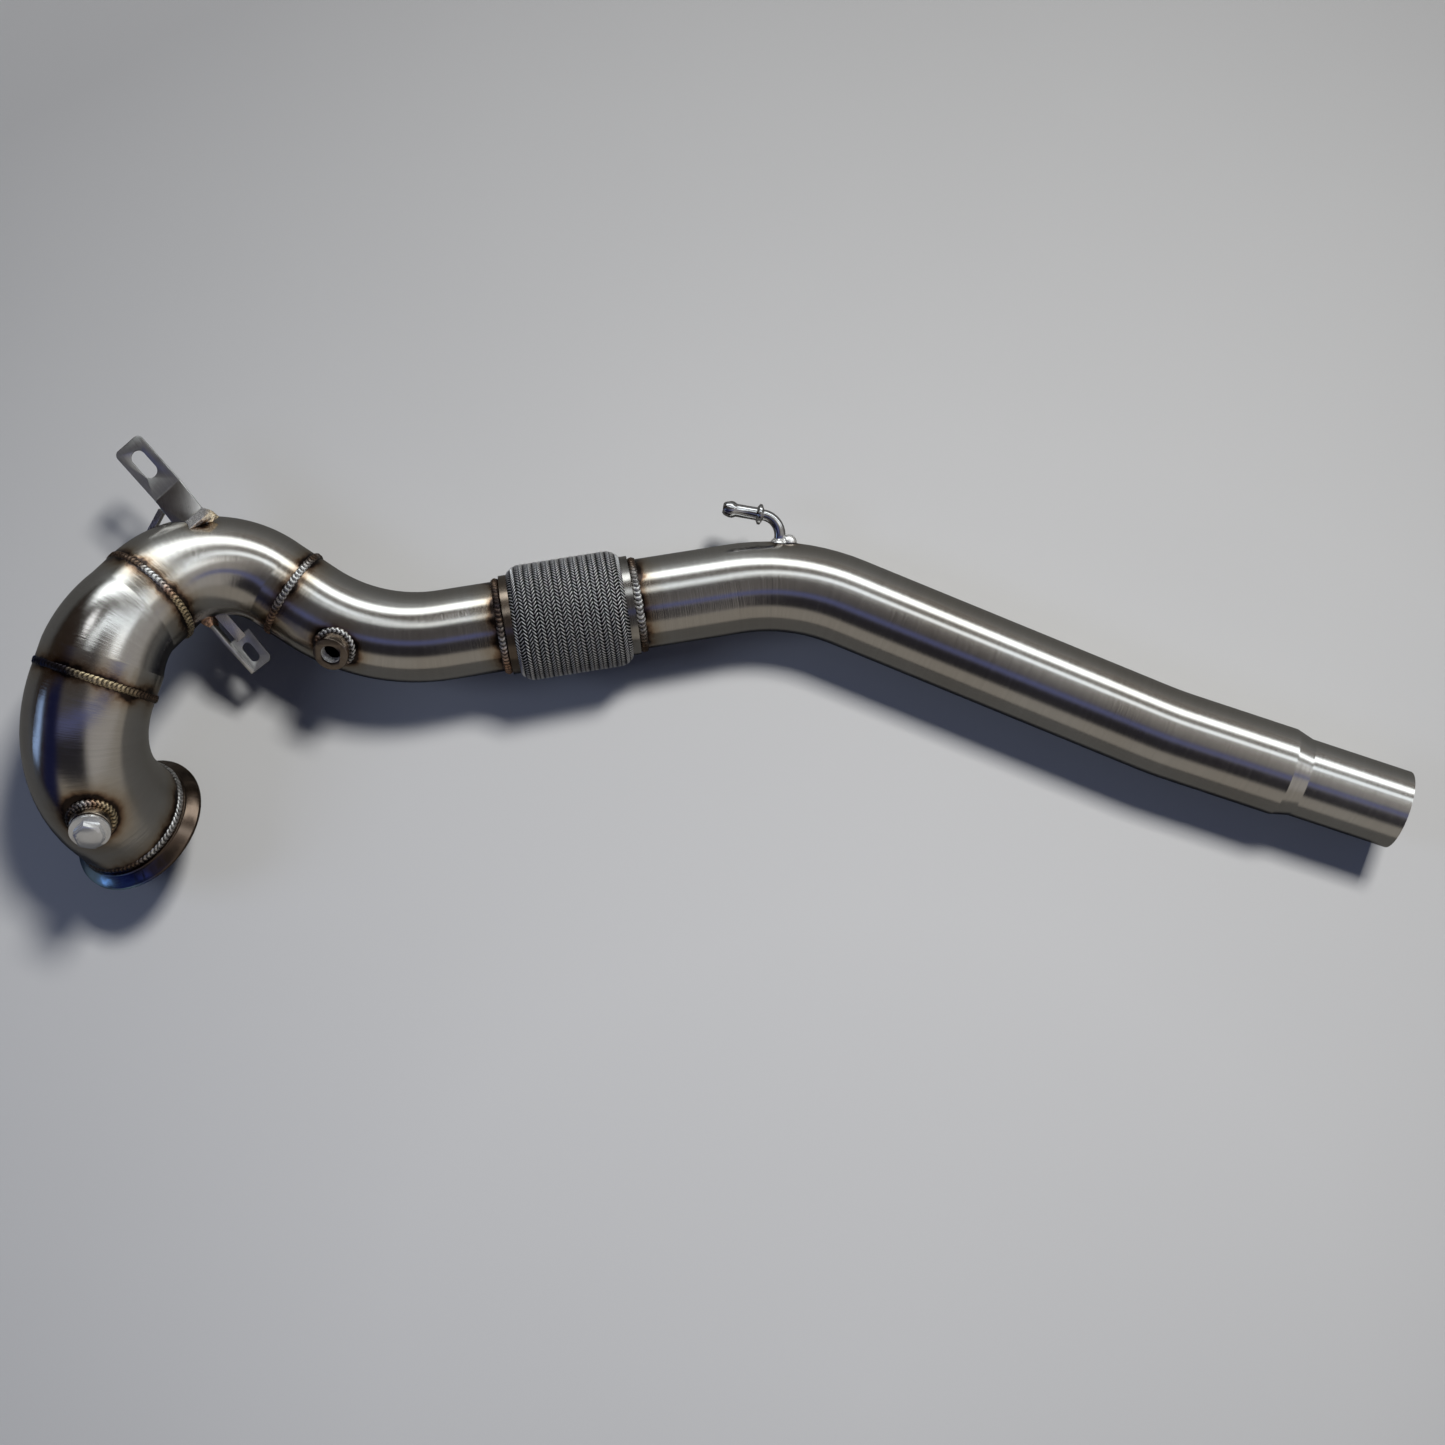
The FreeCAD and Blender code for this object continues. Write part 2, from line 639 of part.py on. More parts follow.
def bung(label, place, outside, outer_radius, leg):
    """A bored boss cut to the tube it stands on, with a fillet weld round its foot."""
    bore = size["bung_bore"] / 2
    saddle = size["bung_saddle"]
    top = saddle + size["bung_height"]
    blank = turned(label + "_blank", shifted(place, z=-saddle.value), [
        (bore, 0), (outer_radius, 0), (outer_radius, top - edge), (outer_radius - edge, top), (bore, top)])
    weld_blank = turned(label + "_weld_blank", shifted(place, z=-saddle.value), [
        (outer_radius, 0), (outer_radius + leg + saddle / 2, 0), (outer_radius, saddle + leg)])
    return cut(label, blank, outside), cut(label + "_weld", weld_blank, outside)


port_reach = size["bung_height"]
inlet_outside = elbow_outside("inlet_elbow_outside", "inlet_elbow", inlet_radius,
                              size["inlet_elbow_angle"], size["inlet_elbow_radius"])
plugged = surface_frame("inlet_elbow", mm["inlet_elbow_radius"], mm["plugged_angle"], mm["plugged_around"],
                        inlet_radius.value)
port_hole(inlet, "plugged_port", plugged, size["port_hole"] / 2, port_reach)
bung("plugged_bung", plugged, inlet_outside, size["bung_od"] / 2, size["bung_bead"])

lower_outside = elbow_outside("lower_elbow_outside", "lower_elbow", pipe_radius,
                              size["lower_elbow_angle"], size["lower_elbow_radius"])
opened = surface_frame("lower_elbow", mm["lower_elbow_radius"], mm["open_angle"], mm["open_around"],
                       pipe_radius.value)
port_hole(lower, "open_port", opened, size["port_hole"] / 2, port_reach)
bung("open_bung", opened, lower_outside, size["open_bung_od"] / 2, size["open_bung_bead"])

# Plug and sealing washer in the first bung.

bung_face = shifted(plugged, z=mm["bung_height"])
turned("plug_washer", bung_face, [
    (size["bung_bore"] / 2 + size["plug_clearance"], 0),
    (size["washer_od"] / 2, 0),
    (size["washer_od"] / 2, size["washer_thickness"]),
    (size["bung_bore"] / 2 + size["plug_clearance"], size["washer_thickness"]),
])
plug_face = shifted(bung_face, z=mm["washer_thickness"])
shank_radius = size["bung_bore"] / 2 - size["plug_clearance"]
corner_radius = size["plug_flats"] / math.sqrt(3)
plug = new_body("bung_plug", plug_face)
sketch = sketch_on(plug, "plug_flange", FreeCAD.Placement())
circle(sketch, size["plug_flange_od"] / 2)
pad(plug, sketch, size["plug_flange_thickness"])
sketch = sketch_on(plug, "plug_shank", FreeCAD.Placement())
circle(sketch, shank_radius)
pad(plug, sketch, size["plug_shank"] + size["washer_thickness"], back=True)
sketch = sketch_on(plug, "plug_hexagon", shifted(FreeCAD.Placement(), z=mm["plug_flange_thickness"]))
outline(sketch, [(corner_radius * round(math.cos(math.radians(60 * side)), 12),
                  corner_radius * round(math.sin(math.radians(60 * side)), 12)) for side in range(6)])
pad(plug, sketch, size["plug_head"])
sketch = sketch_on(plug, "plug_chamfer", SECTION_PLANE)
head_top = size["plug_flange_thickness"] + size["plug_head"]
chamfer_start = size["plug_flats"] / 2 - size["plug_chamfer"]
chamfer_reach = corner_radius + size["plug_chamfer"]
outline(sketch, [(chamfer_start, head_top), (chamfer_reach, head_top),
                 (chamfer_reach, head_top - (chamfer_reach - chamfer_start) / 2)])
chamfer = plug.newObject("PartDesign::Groove", "plug_chamfer_groove")
chamfer.Profile = sketch
chamfer.ReferenceAxis = (sketch, ["V_Axis"])
bind(chamfer, "Angle", 360)

# Brackets: bent strap and angle plate, each trimmed to the upper elbow and welded round its foot.

def radius_at(angle):
    """The upper elbow's outer radius at an angle round its bend."""
    share = angle / size["upper_elbow_angle"]
    return pipe_radius + (middle_radius - pipe_radius) * share


def heading_frame(origin, heading, climb):
    """A frame with Z along a compass heading on the bench and a climb above it, Y level."""
    turn, lift = math.radians(heading), math.radians(climb)
    along = V(math.cos(turn) * math.cos(lift), math.sin(turn) * math.cos(lift), math.sin(lift))
    level = V(math.sin(turn), -math.cos(turn), 0)
    return frame(origin, along, level)


def bar(thickness, width):
    """A section drawer for flat bar, with its thickness along X."""
    def draw(sketch, x):
        rectangle(sketch, thickness, width, x)
    return draw


def foot_weld(label, place, thickness, width, sink, outside, *plates):
    """A sloped bead round the foot of a plate that stands on the elbow."""
    spread = size["bracket_bead"]
    blank = new_body(label + "_blank", place)
    sketch = sketch_on(blank, label + "_foot", FreeCAD.Placement())
    rectangle(sketch, thickness + spread * 3, width + spread * 3)
    feature = pad(blank, sketch, sink + spread)
    feature.TaperAngle = -math.degrees(math.atan(spread.value * 1.5 / (sink + spread).value))
    bead = cut(label + "_trimmed", blank, outside)
    for count, plate in enumerate(plates, start=1):
        bead = cut(label if plate is plates[-1] else f"{label}_cut_{count}", bead, plate)
    return bead


sink = size["plate_sink"]
strap_thickness = size["strap_thickness"]
strap_width = size["strap_width"]
upper_foot = surface_frame("upper_elbow", mm["upper_elbow_radius"], mm["upper_angle"], mm["upper_around"],
                           radius_at(size["upper_angle"]).value)
strap_frame = heading_frame(upper_foot.Base, mm["upper_heading"], mm["upper_climb"])
strap_section = bar(strap_thickness, strap_width)
strap = new_body("upper_bracket_strap", shifted(strap_frame, z=-sink.value))
run(strap, "strap_leg", strap.Placement, strap_section, size["strap_leg"] + sink)
path = Walk()
path.point = shifted(strap_frame, z=mm["strap_leg"]).Base
path.along = strap_frame.Rotation.multVec(V(0, 0, 1))
path.side = strap_frame.Rotation.multVec(V(0, 1, 0))
strap_curve = size["strap_bend_radius"] + strap_thickness / 2
path.bend("fold", mm["strap_bend"], strap_curve.value)
bend(strap, "strap_fold", path.at["fold_centre"], strap_section, size["strap_bend"], strap_curve)
path.mark("tab")
# The tab's outline is drawn on its face: X across the strap, Y towards the tip.
tab_face = path.at["tab"].multiply(
    FreeCAD.Placement(V(0, 0, 0), FreeCAD.Rotation(V(0, 1, 0), V(0, 0, 1), V(1, 0, 0), "ZXY")))
tab_face = shifted(tab_face, z=-mm["strap_thickness"] / 2)
sketch = sketch_on(strap, "strap_tab", strap.Placement.inverse().multiply(tab_face))
rectangle(sketch, strap_width, size["tab_length"], y=size["tab_length"] / 2)
slot(sketch, size["slot_length"], size["slot_width"], 0, size["tab_length"] - size["slot_from_tip"])
tab = pad(strap, sketch, strap_thickness)


def round_corners(body, feature, face, length, width, thickness, radius):
    """Round the two tip corners of a tab that is drawn on face."""
    doc.recompute()
    local = body.Placement.inverse().multiply(face)
    tips = [local.multVec(V(side * width.value / 2, length.value, thickness.value / 2)) for side in (-1, 1)]
    names = [f"Edge{index}" for index, item in enumerate(feature.Shape.Edges, start=1)
             if min((item.CenterOfMass - tip).Length for tip in tips) < 0.01]
    fillet = body.newObject("PartDesign::Fillet", feature.Name + "_corners")
    fillet.Base = (feature, names)
    bind(fillet, "Radius", radius)


round_corners(strap, tab, tab_face, size["tab_length"], strap_width, strap_thickness, size["tab_corner"])
cut("upper_bracket", strap, upper_outside)
foot_weld("upper_bracket_weld", shifted(strap_frame, z=-sink.value), strap_thickness, strap_width, sink,
          upper_outside, strap)

# The rib stands on the elbow beside the strap and props its underside.
rib_foot = surface_frame("upper_elbow", mm["upper_elbow_radius"], mm["rib_angle"], mm["rib_around"],
                         radius_at(size["rib_angle"]).value)
rib_frame = heading_frame(rib_foot.Base, mm["rib_heading"], mm["rib_climb"])
rib = new_body("upper_bracket_rib_bar", shifted(rib_frame, z=-mm["plate_sink"]))
run(rib, "rib_bar", rib.Placement, bar(size["rib_depth"], size["rib_thickness"]),
    size["rib_length"] + size["plate_sink"])
cut("upper_bracket_rib", cut("upper_bracket_rib_trimmed", rib, upper_outside), strap)

# The angle plate has its upright on one side. Its frame has X up and Z towards the tip.
lower_foot = surface_frame("upper_elbow", mm["upper_elbow_radius"], mm["lower_angle"], mm["lower_around"],
                           radius_at(size["lower_angle"]).value)
angle_frame = shifted(
    heading_frame(lower_foot.Base + V(0, 0, -mm["lower_drop"]), mm["lower_heading"], 0),
    y=mm["lower_shift"])
plate = new_body("lower_bracket_plate", angle_frame)
# Sketches on the flat of the tab have X across it and Y towards the tip.
flat = FreeCAD.Placement(V(0, 0, 0), FreeCAD.Rotation(V(0, -1, 0), V(0, 0, 1), V(-1, 0, 0), "ZXY"))
reach = size["angle_reach"]
tab_length = size["lower_tab_length"]
sketch = sketch_on(plate, "lower_tab", flat)
tip = reach + tab_length
side = size["angle_width"] / 2
corner = size["lower_corner"]
outline(sketch, [(-side, reach), (side, reach), (side, tip - corner), (side - corner, tip), (-side, tip)])
slot(sketch, size["lower_slot_length"], size["lower_slot_width"], 0,
     tip - size["lower_slot_from_tip"])
pad(plate, sketch, size["angle_thickness"])
# The upright's outline has X towards the tip and Y up.
upright = FreeCAD.Placement(
    V(0, side.value, 0), FreeCAD.Rotation(V(0, 0, 1), V(1, 0, 0), V(0, 1, 0), "ZXY"))
sketch = sketch_on(plate, "lower_upright", upright)
outline(sketch, [(-size["plate_sink"], -size["angle_thickness"]), (tip, -size["angle_thickness"]),
                 (tip, size["lower_tip_height"] - size["angle_thickness"]),
                 (reach, size["angle_height"]), (-size["plate_sink"], size["angle_height"])])
pad(plate, sketch, size["angle_thickness"], back=True)
lower_bracket = cut("lower_bracket", plate, upper_outside)

# The brace slopes down from the elbow to the tab's near edge.
brace_end = shifted(angle_frame, y=-mm["brace_shift"], z=mm["angle_reach"])
brace_frame = turned_about(brace_end, V(0, 1, 0), mm["brace_tilt"])
brace = new_body("lower_bracket_brace_bar", shifted(brace_frame, z=-(reach + sink).value))
run(brace, "brace_bar", brace.Placement, bar(size["brace_thickness"], size["brace_width"]),
    reach + sink + size["angle_thickness"])
lower_brace = cut("lower_bracket_brace", cut("lower_bracket_brace_trimmed", brace, upper_outside),
                  lower_bracket)
upright_height = size["angle_height"] + size["angle_thickness"]
upright_middle = (size["angle_height"] - size["angle_thickness"]) / 2
upright_side = side - size["angle_thickness"] / 2
upright_foot = shifted(angle_frame, x=upright_middle.value, y=upright_side.value, z=-sink.value)
foot_weld("lower_bracket_weld", upright_foot, upright_height, size["angle_thickness"], sink,
          upper_outside, lower_bracket, brace)

# Hose nozzle: a bent tube with a brazed collar and a rounded barb.

main_outside = elbow_outside("main_bend_outside", "main_bend", pipe_radius,
                             size["main_bend_angle"], size["main_bend_radius"])
nozzle_foot = surface_frame("main_bend", mm["main_bend_radius"], mm["nozzle_angle"], mm["nozzle_around"],
                            pipe_radius.value)
nozzle_radius = size["nozzle_od"] / 2
nozzle_bore = size["nozzle_bore"] / 2
port_hole(outlet, "nozzle_port", nozzle_foot, nozzle_bore, port_reach)
nozzle_tube = ring(nozzle_radius, nozzle_radius - nozzle_bore)
path = Walk()
path.point = nozzle_foot.Base
path.along = nozzle_foot.Rotation.multVec(V(0, 0, 1))
path.side = nozzle_foot.Rotation.multVec(V(0, 1, 0))
path.straight("rise", "nozzle_rise")
path.bend("turn", mm["nozzle_bend_angle"], mm["nozzle_bend_radius"])
path.mark("collar")
nozzle = new_body("hose_nozzle_tube", shifted(nozzle_foot, z=-mm["nozzle_fillet"]))
run(nozzle, "nozzle_rise", nozzle.Placement, nozzle_tube, size["nozzle_rise"] + size["nozzle_fillet"])
bend(nozzle, "nozzle_turn", path.at["turn_centre"], nozzle_tube, size["nozzle_bend_angle"],
     size["nozzle_bend_radius"])
profile = sketch_on(nozzle, "nozzle_barb", nozzle.Placement.inverse().multiply(
    path.at["collar"]).multiply(SECTION_PLANE))
collar = size["nozzle_collar_od"] / 2
barrel = size["barrel_od"] / 2
barb = size["tip_od"] / 2
collar_end = size["nozzle_collar_length"]
barrel_end = collar_end + size["barrel_length"]
tip_end = barrel_end + size["tip_length"]
round_off = size["tip_length"] / 4
outline(profile, [
    (nozzle_bore, 0), (nozzle_radius, 0), (collar, collar_end / 3), (collar, collar_end * 2 / 3),
    (barrel, collar_end), (barrel, barrel_end), (barb, barrel_end + round_off),
    (barb, tip_end - round_off * 2), (barb - round_off / 2, tip_end - round_off / 2),
    (barb - round_off, tip_end), (nozzle_bore, tip_end)])
revolve(nozzle, profile)
hose_nozzle = cut("hose_nozzle", nozzle, main_outside)

# Its weld: a fillet all round, and a puddle left on the downstream side.
fillet_top = size["nozzle_fillet"] * 2
ring_weld = turned("hose_nozzle_fillet", shifted(nozzle_foot, z=-mm["nozzle_fillet"]), [
    (nozzle_radius, 0), (nozzle_radius + fillet_top, 0), (nozzle_radius, fillet_top)])
puddle = doc.addObject("Part::Sphere", "hose_nozzle_puddle")
bind(puddle, "Radius", size["puddle_radius"])
puddle.Placement = shifted(nozzle_foot, x=-mm["puddle_offset"])
weld_blank = doc.addObject("Part::MultiFuse", "hose_nozzle_weld_blank")
weld_blank.Shapes = [ring_weld, puddle]
shaft = doc.addObject("Part::Cylinder", "hose_nozzle_shaft")
shaft.Placement = shifted(nozzle_foot, z=-(reach - fillet_top).value)
bind(shaft, "Radius", nozzle_radius)
bind(shaft, "Height", reach * 2)
cut("hose_nozzle_weld", cut("hose_nozzle_weld_bored", weld_blank, shaft), main_outside)

NODES = ["outlet_pipe", "lower_elbow", "inlet_elbow", "upper_elbow", "reducing_sleeve", "inlet_flange",
         "inlet_weld", "elbow_weld_1", "elbow_weld_2", "elbow_weld_3",
         "flex_rear_collar", "flex_rear_weld", "flex_front_collar", "flex_front_weld",
         "flex_liner", "flex_bellows", "flex_braid",
         "plugged_bung", "plugged_bung_weld", "open_bung", "open_bung_weld",
         "plug_washer", "bung_plug",
         "upper_bracket", "upper_bracket_weld", "upper_bracket_rib", "lower_bracket",
         "lower_bracket_brace", "lower_bracket_weld", "hose_nozzle", "hose_nozzle_weld"]

doc.recompute()
for item in doc.Objects:
    bad = [state for state in item.State if state in ("Invalid", "Error")]
    if bad:
        raise RuntimeError(f"{item.Label}: {item.State} {item.getStatusString()}")
os.makedirs("parts", exist_ok=True)
for label in NODES:
    item = doc.getObjectsByLabel(label)[0]
    shape = item.Shape
    if shape.isNull() or not shape.isValid() or len(shape.Solids) != 1:
        raise RuntimeError(f"{label}: bad shape, {len(shape.Solids)} solids")
    shape.exportStep(f"parts/{label}.step")
    print(label, round(shape.Volume))
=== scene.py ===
import json
import math

import bpy
import numpy as np
from mathutils import Matrix, Vector
from mathutils.bvhtree import BVHTree


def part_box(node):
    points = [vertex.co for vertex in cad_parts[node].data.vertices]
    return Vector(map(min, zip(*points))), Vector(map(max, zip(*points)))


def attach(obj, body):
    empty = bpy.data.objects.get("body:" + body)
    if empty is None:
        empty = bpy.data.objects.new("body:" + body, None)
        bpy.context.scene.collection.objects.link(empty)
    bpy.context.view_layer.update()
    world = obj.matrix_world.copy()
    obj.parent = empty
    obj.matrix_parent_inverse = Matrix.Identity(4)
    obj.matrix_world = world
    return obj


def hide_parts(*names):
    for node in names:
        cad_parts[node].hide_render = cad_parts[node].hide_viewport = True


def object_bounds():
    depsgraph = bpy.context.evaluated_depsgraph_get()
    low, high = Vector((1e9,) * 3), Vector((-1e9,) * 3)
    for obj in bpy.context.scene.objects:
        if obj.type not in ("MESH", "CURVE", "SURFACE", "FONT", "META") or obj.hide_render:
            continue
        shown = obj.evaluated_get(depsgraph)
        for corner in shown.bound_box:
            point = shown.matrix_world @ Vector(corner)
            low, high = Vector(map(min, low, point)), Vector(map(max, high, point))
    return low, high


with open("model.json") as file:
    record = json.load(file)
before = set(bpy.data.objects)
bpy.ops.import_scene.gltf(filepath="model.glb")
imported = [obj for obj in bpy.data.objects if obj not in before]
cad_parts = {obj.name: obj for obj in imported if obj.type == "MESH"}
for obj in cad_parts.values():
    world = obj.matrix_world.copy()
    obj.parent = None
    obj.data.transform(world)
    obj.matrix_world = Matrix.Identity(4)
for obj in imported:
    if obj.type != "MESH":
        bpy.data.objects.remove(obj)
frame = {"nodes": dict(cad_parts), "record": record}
cad_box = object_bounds()
nodes = frame["nodes"]
mounts = {mount["name"]: mount for mount in frame["record"]["mounts"]}
MM = 0.001


# The bench: a pale grey table top that the pipe lies on, seen from straight above.
# The picture's upright stands 18.3 degrees off the pipe's own +Y, and the slip end's
# mouth lies 574 mm right of the picture's middle and 74 mm below it.
PICTURE_TURN = math.radians(18.3)
CAMERA_HEIGHT = 1908 * MM
PIXELS_ACROSS = 1445
FOCAL_PIXELS = 2200
SENSOR_WIDTH = 36
SLIP_END_IN_PICTURE = Vector((573.9, -73.85, 0)) * MM
RESTING_HEIGHT = 38.2 * MM

turn = Matrix.Rotation(PICTURE_TURN, 3, "Z")
picture_right = turn @ Vector((1, 0, 0))
picture_up = turn @ Vector((0, 1, 0))
slip = mounts["outlet_slip"]
slip_axis = Vector(slip["axis"])
slip_end = Vector(slip["pos_m"]) + slip_axis * slip["dims"]["length_mm"] / 2 * MM
picture_middle = slip_end - turn @ SLIP_END_IN_PICTURE
floor_height = cad_box[0][2]

camera_data = bpy.data.cameras.new("camera")
camera_data.sensor_width = SENSOR_WIDTH
camera_data.lens = SENSOR_WIDTH * FOCAL_PIXELS / PIXELS_ACROSS
camera = bpy.data.objects.new("camera", camera_data)
camera.location = (picture_middle.x, picture_middle.y, CAMERA_HEIGHT - RESTING_HEIGHT)
camera.rotation_euler = (0, 0, PICTURE_TURN)
bpy.context.scene.collection.objects.link(camera)
bpy.context.scene.camera = camera
bpy.context.scene.view_settings.view_transform = "Standard"


class Value:
    """A shader socket that takes part in Python sums."""

    def __init__(self, finish, socket):
        self.finish = finish
        self.socket = socket

    def maths(self, operation, *others):
        """This value through one Math node."""
        return self.finish.node("ShaderNodeMath", {"operation": operation}, self, *others)

    def __add__(self, other):
        return self.maths("ADD", other)

    def __sub__(self, other):
        return self.maths("SUBTRACT", other)

    def __mul__(self, other):
        return self.maths("MULTIPLY", other)

    def __truediv__(self, other):
        return self.maths("DIVIDE", other)

    def __rsub__(self, other):
        return self.finish.node("ShaderNodeMath", {"operation": "SUBTRACT"}, other, self)

    __radd__ = __add__
    __rmul__ = __mul__

    def ease(self, low, high):
        """0 below low and 1 above high, with a soft step between them."""
        settings = {"interpolation_type": "SMOOTHSTEP"}
        return self.finish.node("ShaderNodeMapRange", settings, self, low, high, 0, 1)

    def band(self, middle, reach, soft):
        """1 within reach of middle, and 0 beyond it."""
        away = (self - middle).maths("ABSOLUTE")
        return 1 - away.ease(reach - soft, reach + soft)


class Finish:
    """A tree of shader nodes, for a material or for the world."""

    def __init__(self, name, owner=None):
        self.material = owner or bpy.data.materials.new(name)
        self.material.use_nodes = True
        self.tree = self.material.node_tree
        self.tree.nodes.clear()

    def node(self, kind, settings, *values, out=0):
        """A node with its settings, the values or links of its inputs, and one output."""
        item = self.tree.nodes.new(kind)
        for key, setting in settings.items():
            if key == "stops":
                ramp = item.color_ramp
                while len(ramp.elements) < len(setting):
                    ramp.elements.new(1)
                for element, (place, colour) in zip(ramp.elements, setting):
                    element.position = place
                    element.color = (*colour, 1)
            else:
                setattr(item, key, setting)
        live = [socket for socket in item.inputs if socket.enabled]
        for socket, value in zip(live, values):
            self.feed(socket, value)
        return Value(self, item.outputs[out])

    def feed(self, socket, value):
        """Link a socket to a value, or set it to a number or a colour."""
        if isinstance(value, Value):
            self.tree.links.new(value.socket, socket)
        elif value is not None:
            is_colour = socket.type == "RGBA" and len(value) == 3
            socket.default_value = (*value, 1) if is_colour else value

    def place(self):
        """Where a point of the piece is, in metres."""
        return self.node("ShaderNodeTexCoord", {}, out=3)

    def along(self, place, origin, direction):
        """How far place lies from origin along a direction."""
        dot = self.node("ShaderNodeVectorMath", {"operation": "DOT_PRODUCT"}, place, None, out=1)
        dot.socket.node.inputs[1].default_value = direction
        return dot - Vector(origin).dot(Vector(direction))

    def noise(self, place, scale, detail=2, rough=0.5, w=None):
        """Noise from 0 to 1. With w, it also changes along that value."""
        if w is None:
            return self.node("ShaderNodeTexNoise", {}, place, scale, detail, rough)
        settings = {"noise_dimensions": "4D"}
        return self.node("ShaderNodeTexNoise", settings, place, w, scale, detail, rough)

    def marks(self, place, across, per_metre, scale, detail, rough=0.6):
        """Fine marks, so many to the metre across them, and as long as scale makes them."""
        return self.noise(place, scale, detail, rough, w=across * per_metre / scale)

    def blend(self, share, first, second, kind="MIX"):
        """A colour between two, or one laid on the other."""
        item = self.tree.nodes.new("ShaderNodeMix")
        item.data_type = "RGBA"
        item.blend_type = kind
        # The colours come after the inputs for numbers and for vectors.
        for index, value in ((0, share), (6, first), (7, second)):
            self.feed(item.inputs[index], value)
        return Value(self, item.outputs[2])

    def ramp(self, value, *stops):
        """The colour that goes with a value. A stop is a value and its colour."""
        return self.node("ShaderNodeValToRGB", {"stops": stops}, value)

    def marked(self, share, colour, marks, dark=0.5, low=0.3, high=0.7):
        """A colour that is darker where the marks are low."""
        shade = self.ramp(marks, (low, (dark,) * 3), (high, (1,) * 3))
        return self.blend(share, colour, shade, "MULTIPLY")

    def distance(self, place, point):
        """How far place lies from a point."""
        return self.node("ShaderNodeVectorMath", {"operation": "DISTANCE"}, place, point, out=1)

    def bump(self, height, depth):
        """A normal from a height between 0 and 1, with the depth in metres."""
        item = self.tree.nodes.new("ShaderNodeBump")
        item.inputs["Distance"].default_value = depth
        self.feed(item.inputs["Height"], height)
        return Value(self, item.outputs[0])

    def surface(self, **values):
        """The finished surface. A word in capitals with _ for a space names its socket."""
        shader = self.tree.nodes.new("ShaderNodeBsdfPrincipled")
        for key, value in values.items():
            self.feed(shader.inputs[key.replace("_", " ")], value)
        output = self.tree.nodes.new("ShaderNodeOutputMaterial")
        self.tree.links.new(shader.outputs[0], output.inputs[0])
        return self.material


def lay(item, material, name=None, replaced=()):
    """Give a piece its material, and a new piece its name and body; hide the parts it replaces."""
    item.data.materials.clear()
    item.data.materials.append(material)
    if name:
        item.name = name
        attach(item, "root")
        if replaced:
            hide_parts(*replaced)
    return item


# The table top has a painted pool of light: it is palest below the middle of the picture
# and painted darker farther out. The steel shows it darker than the camera does, as a
# painted darker reflection, and far from the pipe it fades into the backdrop.
TABLE_SIZE = 12
LIGHT_POOL_CENTRE = turn @ Vector((134, -583, 0)) * MM
LIGHT_POOL_REACH = 1.4
LIGHT_POOL_TONES = (
    (0.0, (0.567, 0.567, 0.565)), (0.3, (0.538, 0.538, 0.536)), (0.6, (0.449, 0.449, 0.446)),
    (0.8, (0.358, 0.358, 0.356)), (0.95, (0.285, 0.285, 0.284)))
MOTTLE = 0.04
REFLECTED_TABLE = (0.098, 0.096, 0.09)
FADE_START = 1.35
FADE_END = 2.1
BACKDROP = (0.36, 0.36, 0.36)

bpy.ops.object.select_all(action="DESELECT")
bpy.ops.mesh.primitive_plane_add(
    size=TABLE_SIZE, location=(picture_middle.x, picture_middle.y, floor_height))
table = bpy.context.object
table.name = "table"
finish = Finish("table_top")
place = finish.place()
from_light_pool = finish.distance(place, LIGHT_POOL_CENTRE)
grain = finish.noise(place, 3, 3)
# Painted pool of light: the table's colour darkens with the distance from its centre.
tone = finish.ramp(from_light_pool / LIGHT_POOL_REACH + (grain - 0.5) * MOTTLE, *LIGHT_POOL_TONES)
# Painted reflection: glossy rays see the table much darker than the camera does.
reflected = finish.node("ShaderNodeLightPath", {}, out="Is Glossy Ray")
tone = finish.blend(reflected, tone, REFLECTED_TABLE)
material = finish.surface(Base_Color=tone, Roughness=0.6, Specular_IOR_Level=0.2)
# Only the camera sees the fade, so it adds no light.
by_camera = finish.node("ShaderNodeLightPath", {}, out="Is Camera Ray")
far_off = from_light_pool.ease(FADE_START, FADE_END) * by_camera
end = finish.tree.nodes["Material Output"].inputs["Surface"]
top = Value(finish, end.links[0].from_socket)
backdrop = finish.node("ShaderNodeEmission", {}, BACKDROP)
fade = finish.node("ShaderNodeMixShader", {}, far_off, top, backdrop)
finish.tree.links.new(fade.socket, end)
lay(table, material)

# Light: a soft lamp beyond the top right of the picture, 54 degrees above the table, and
# a weak blue one low at its left. The room is only what the polished steel shows: bright
# windows at the top, a ceiling, warm walls at the right and below, blue at the left.
LAMP_ELEVATION = math.radians(54)
LAMP_DISTANCE = 4
LAMP_SIZE = 0.75
LAMP_POWER = 188
LAMP_TO_THE_RIGHT = 0.5
LAMP_COLOUR = (1, 0.99, 0.96)
SIDE_DISTANCE = 2.4
SIDE_ELEVATION = math.radians(38)
SIDE_POWER = 7
SIDE_COLOUR = (0.75, 0.87, 1.2)
AMBIENT = (0.032, 0.039, 0.072)


def softbox(name, towards, elevation, distance, power, colour):
    """A square lamp that points at the middle of the picture."""
    data = bpy.data.lights.new(name, "AREA")
    data.size = LAMP_SIZE
    data.energy = power
    data.color = colour
    lamp = bpy.data.objects.new(name, data)
    out = towards.normalized() * math.cos(elevation) + Vector((0, 0, math.sin(elevation)))
    lamp.location = Vector((picture_middle.x, picture_middle.y, 0)) + out * distance
    lamp.rotation_euler = out.to_track_quat("Z", "Y").to_euler()
    lamp.visible_glossy = False
    bpy.context.scene.collection.objects.link(lamp)


softbox("main_lamp", picture_up + picture_right * LAMP_TO_THE_RIGHT,
        LAMP_ELEVATION, LAMP_DISTANCE, LAMP_POWER, LAMP_COLOUR)
softbox("side_lamp", -picture_right, SIDE_ELEVATION, SIDE_DISTANCE, SIDE_POWER, SIDE_COLOUR)

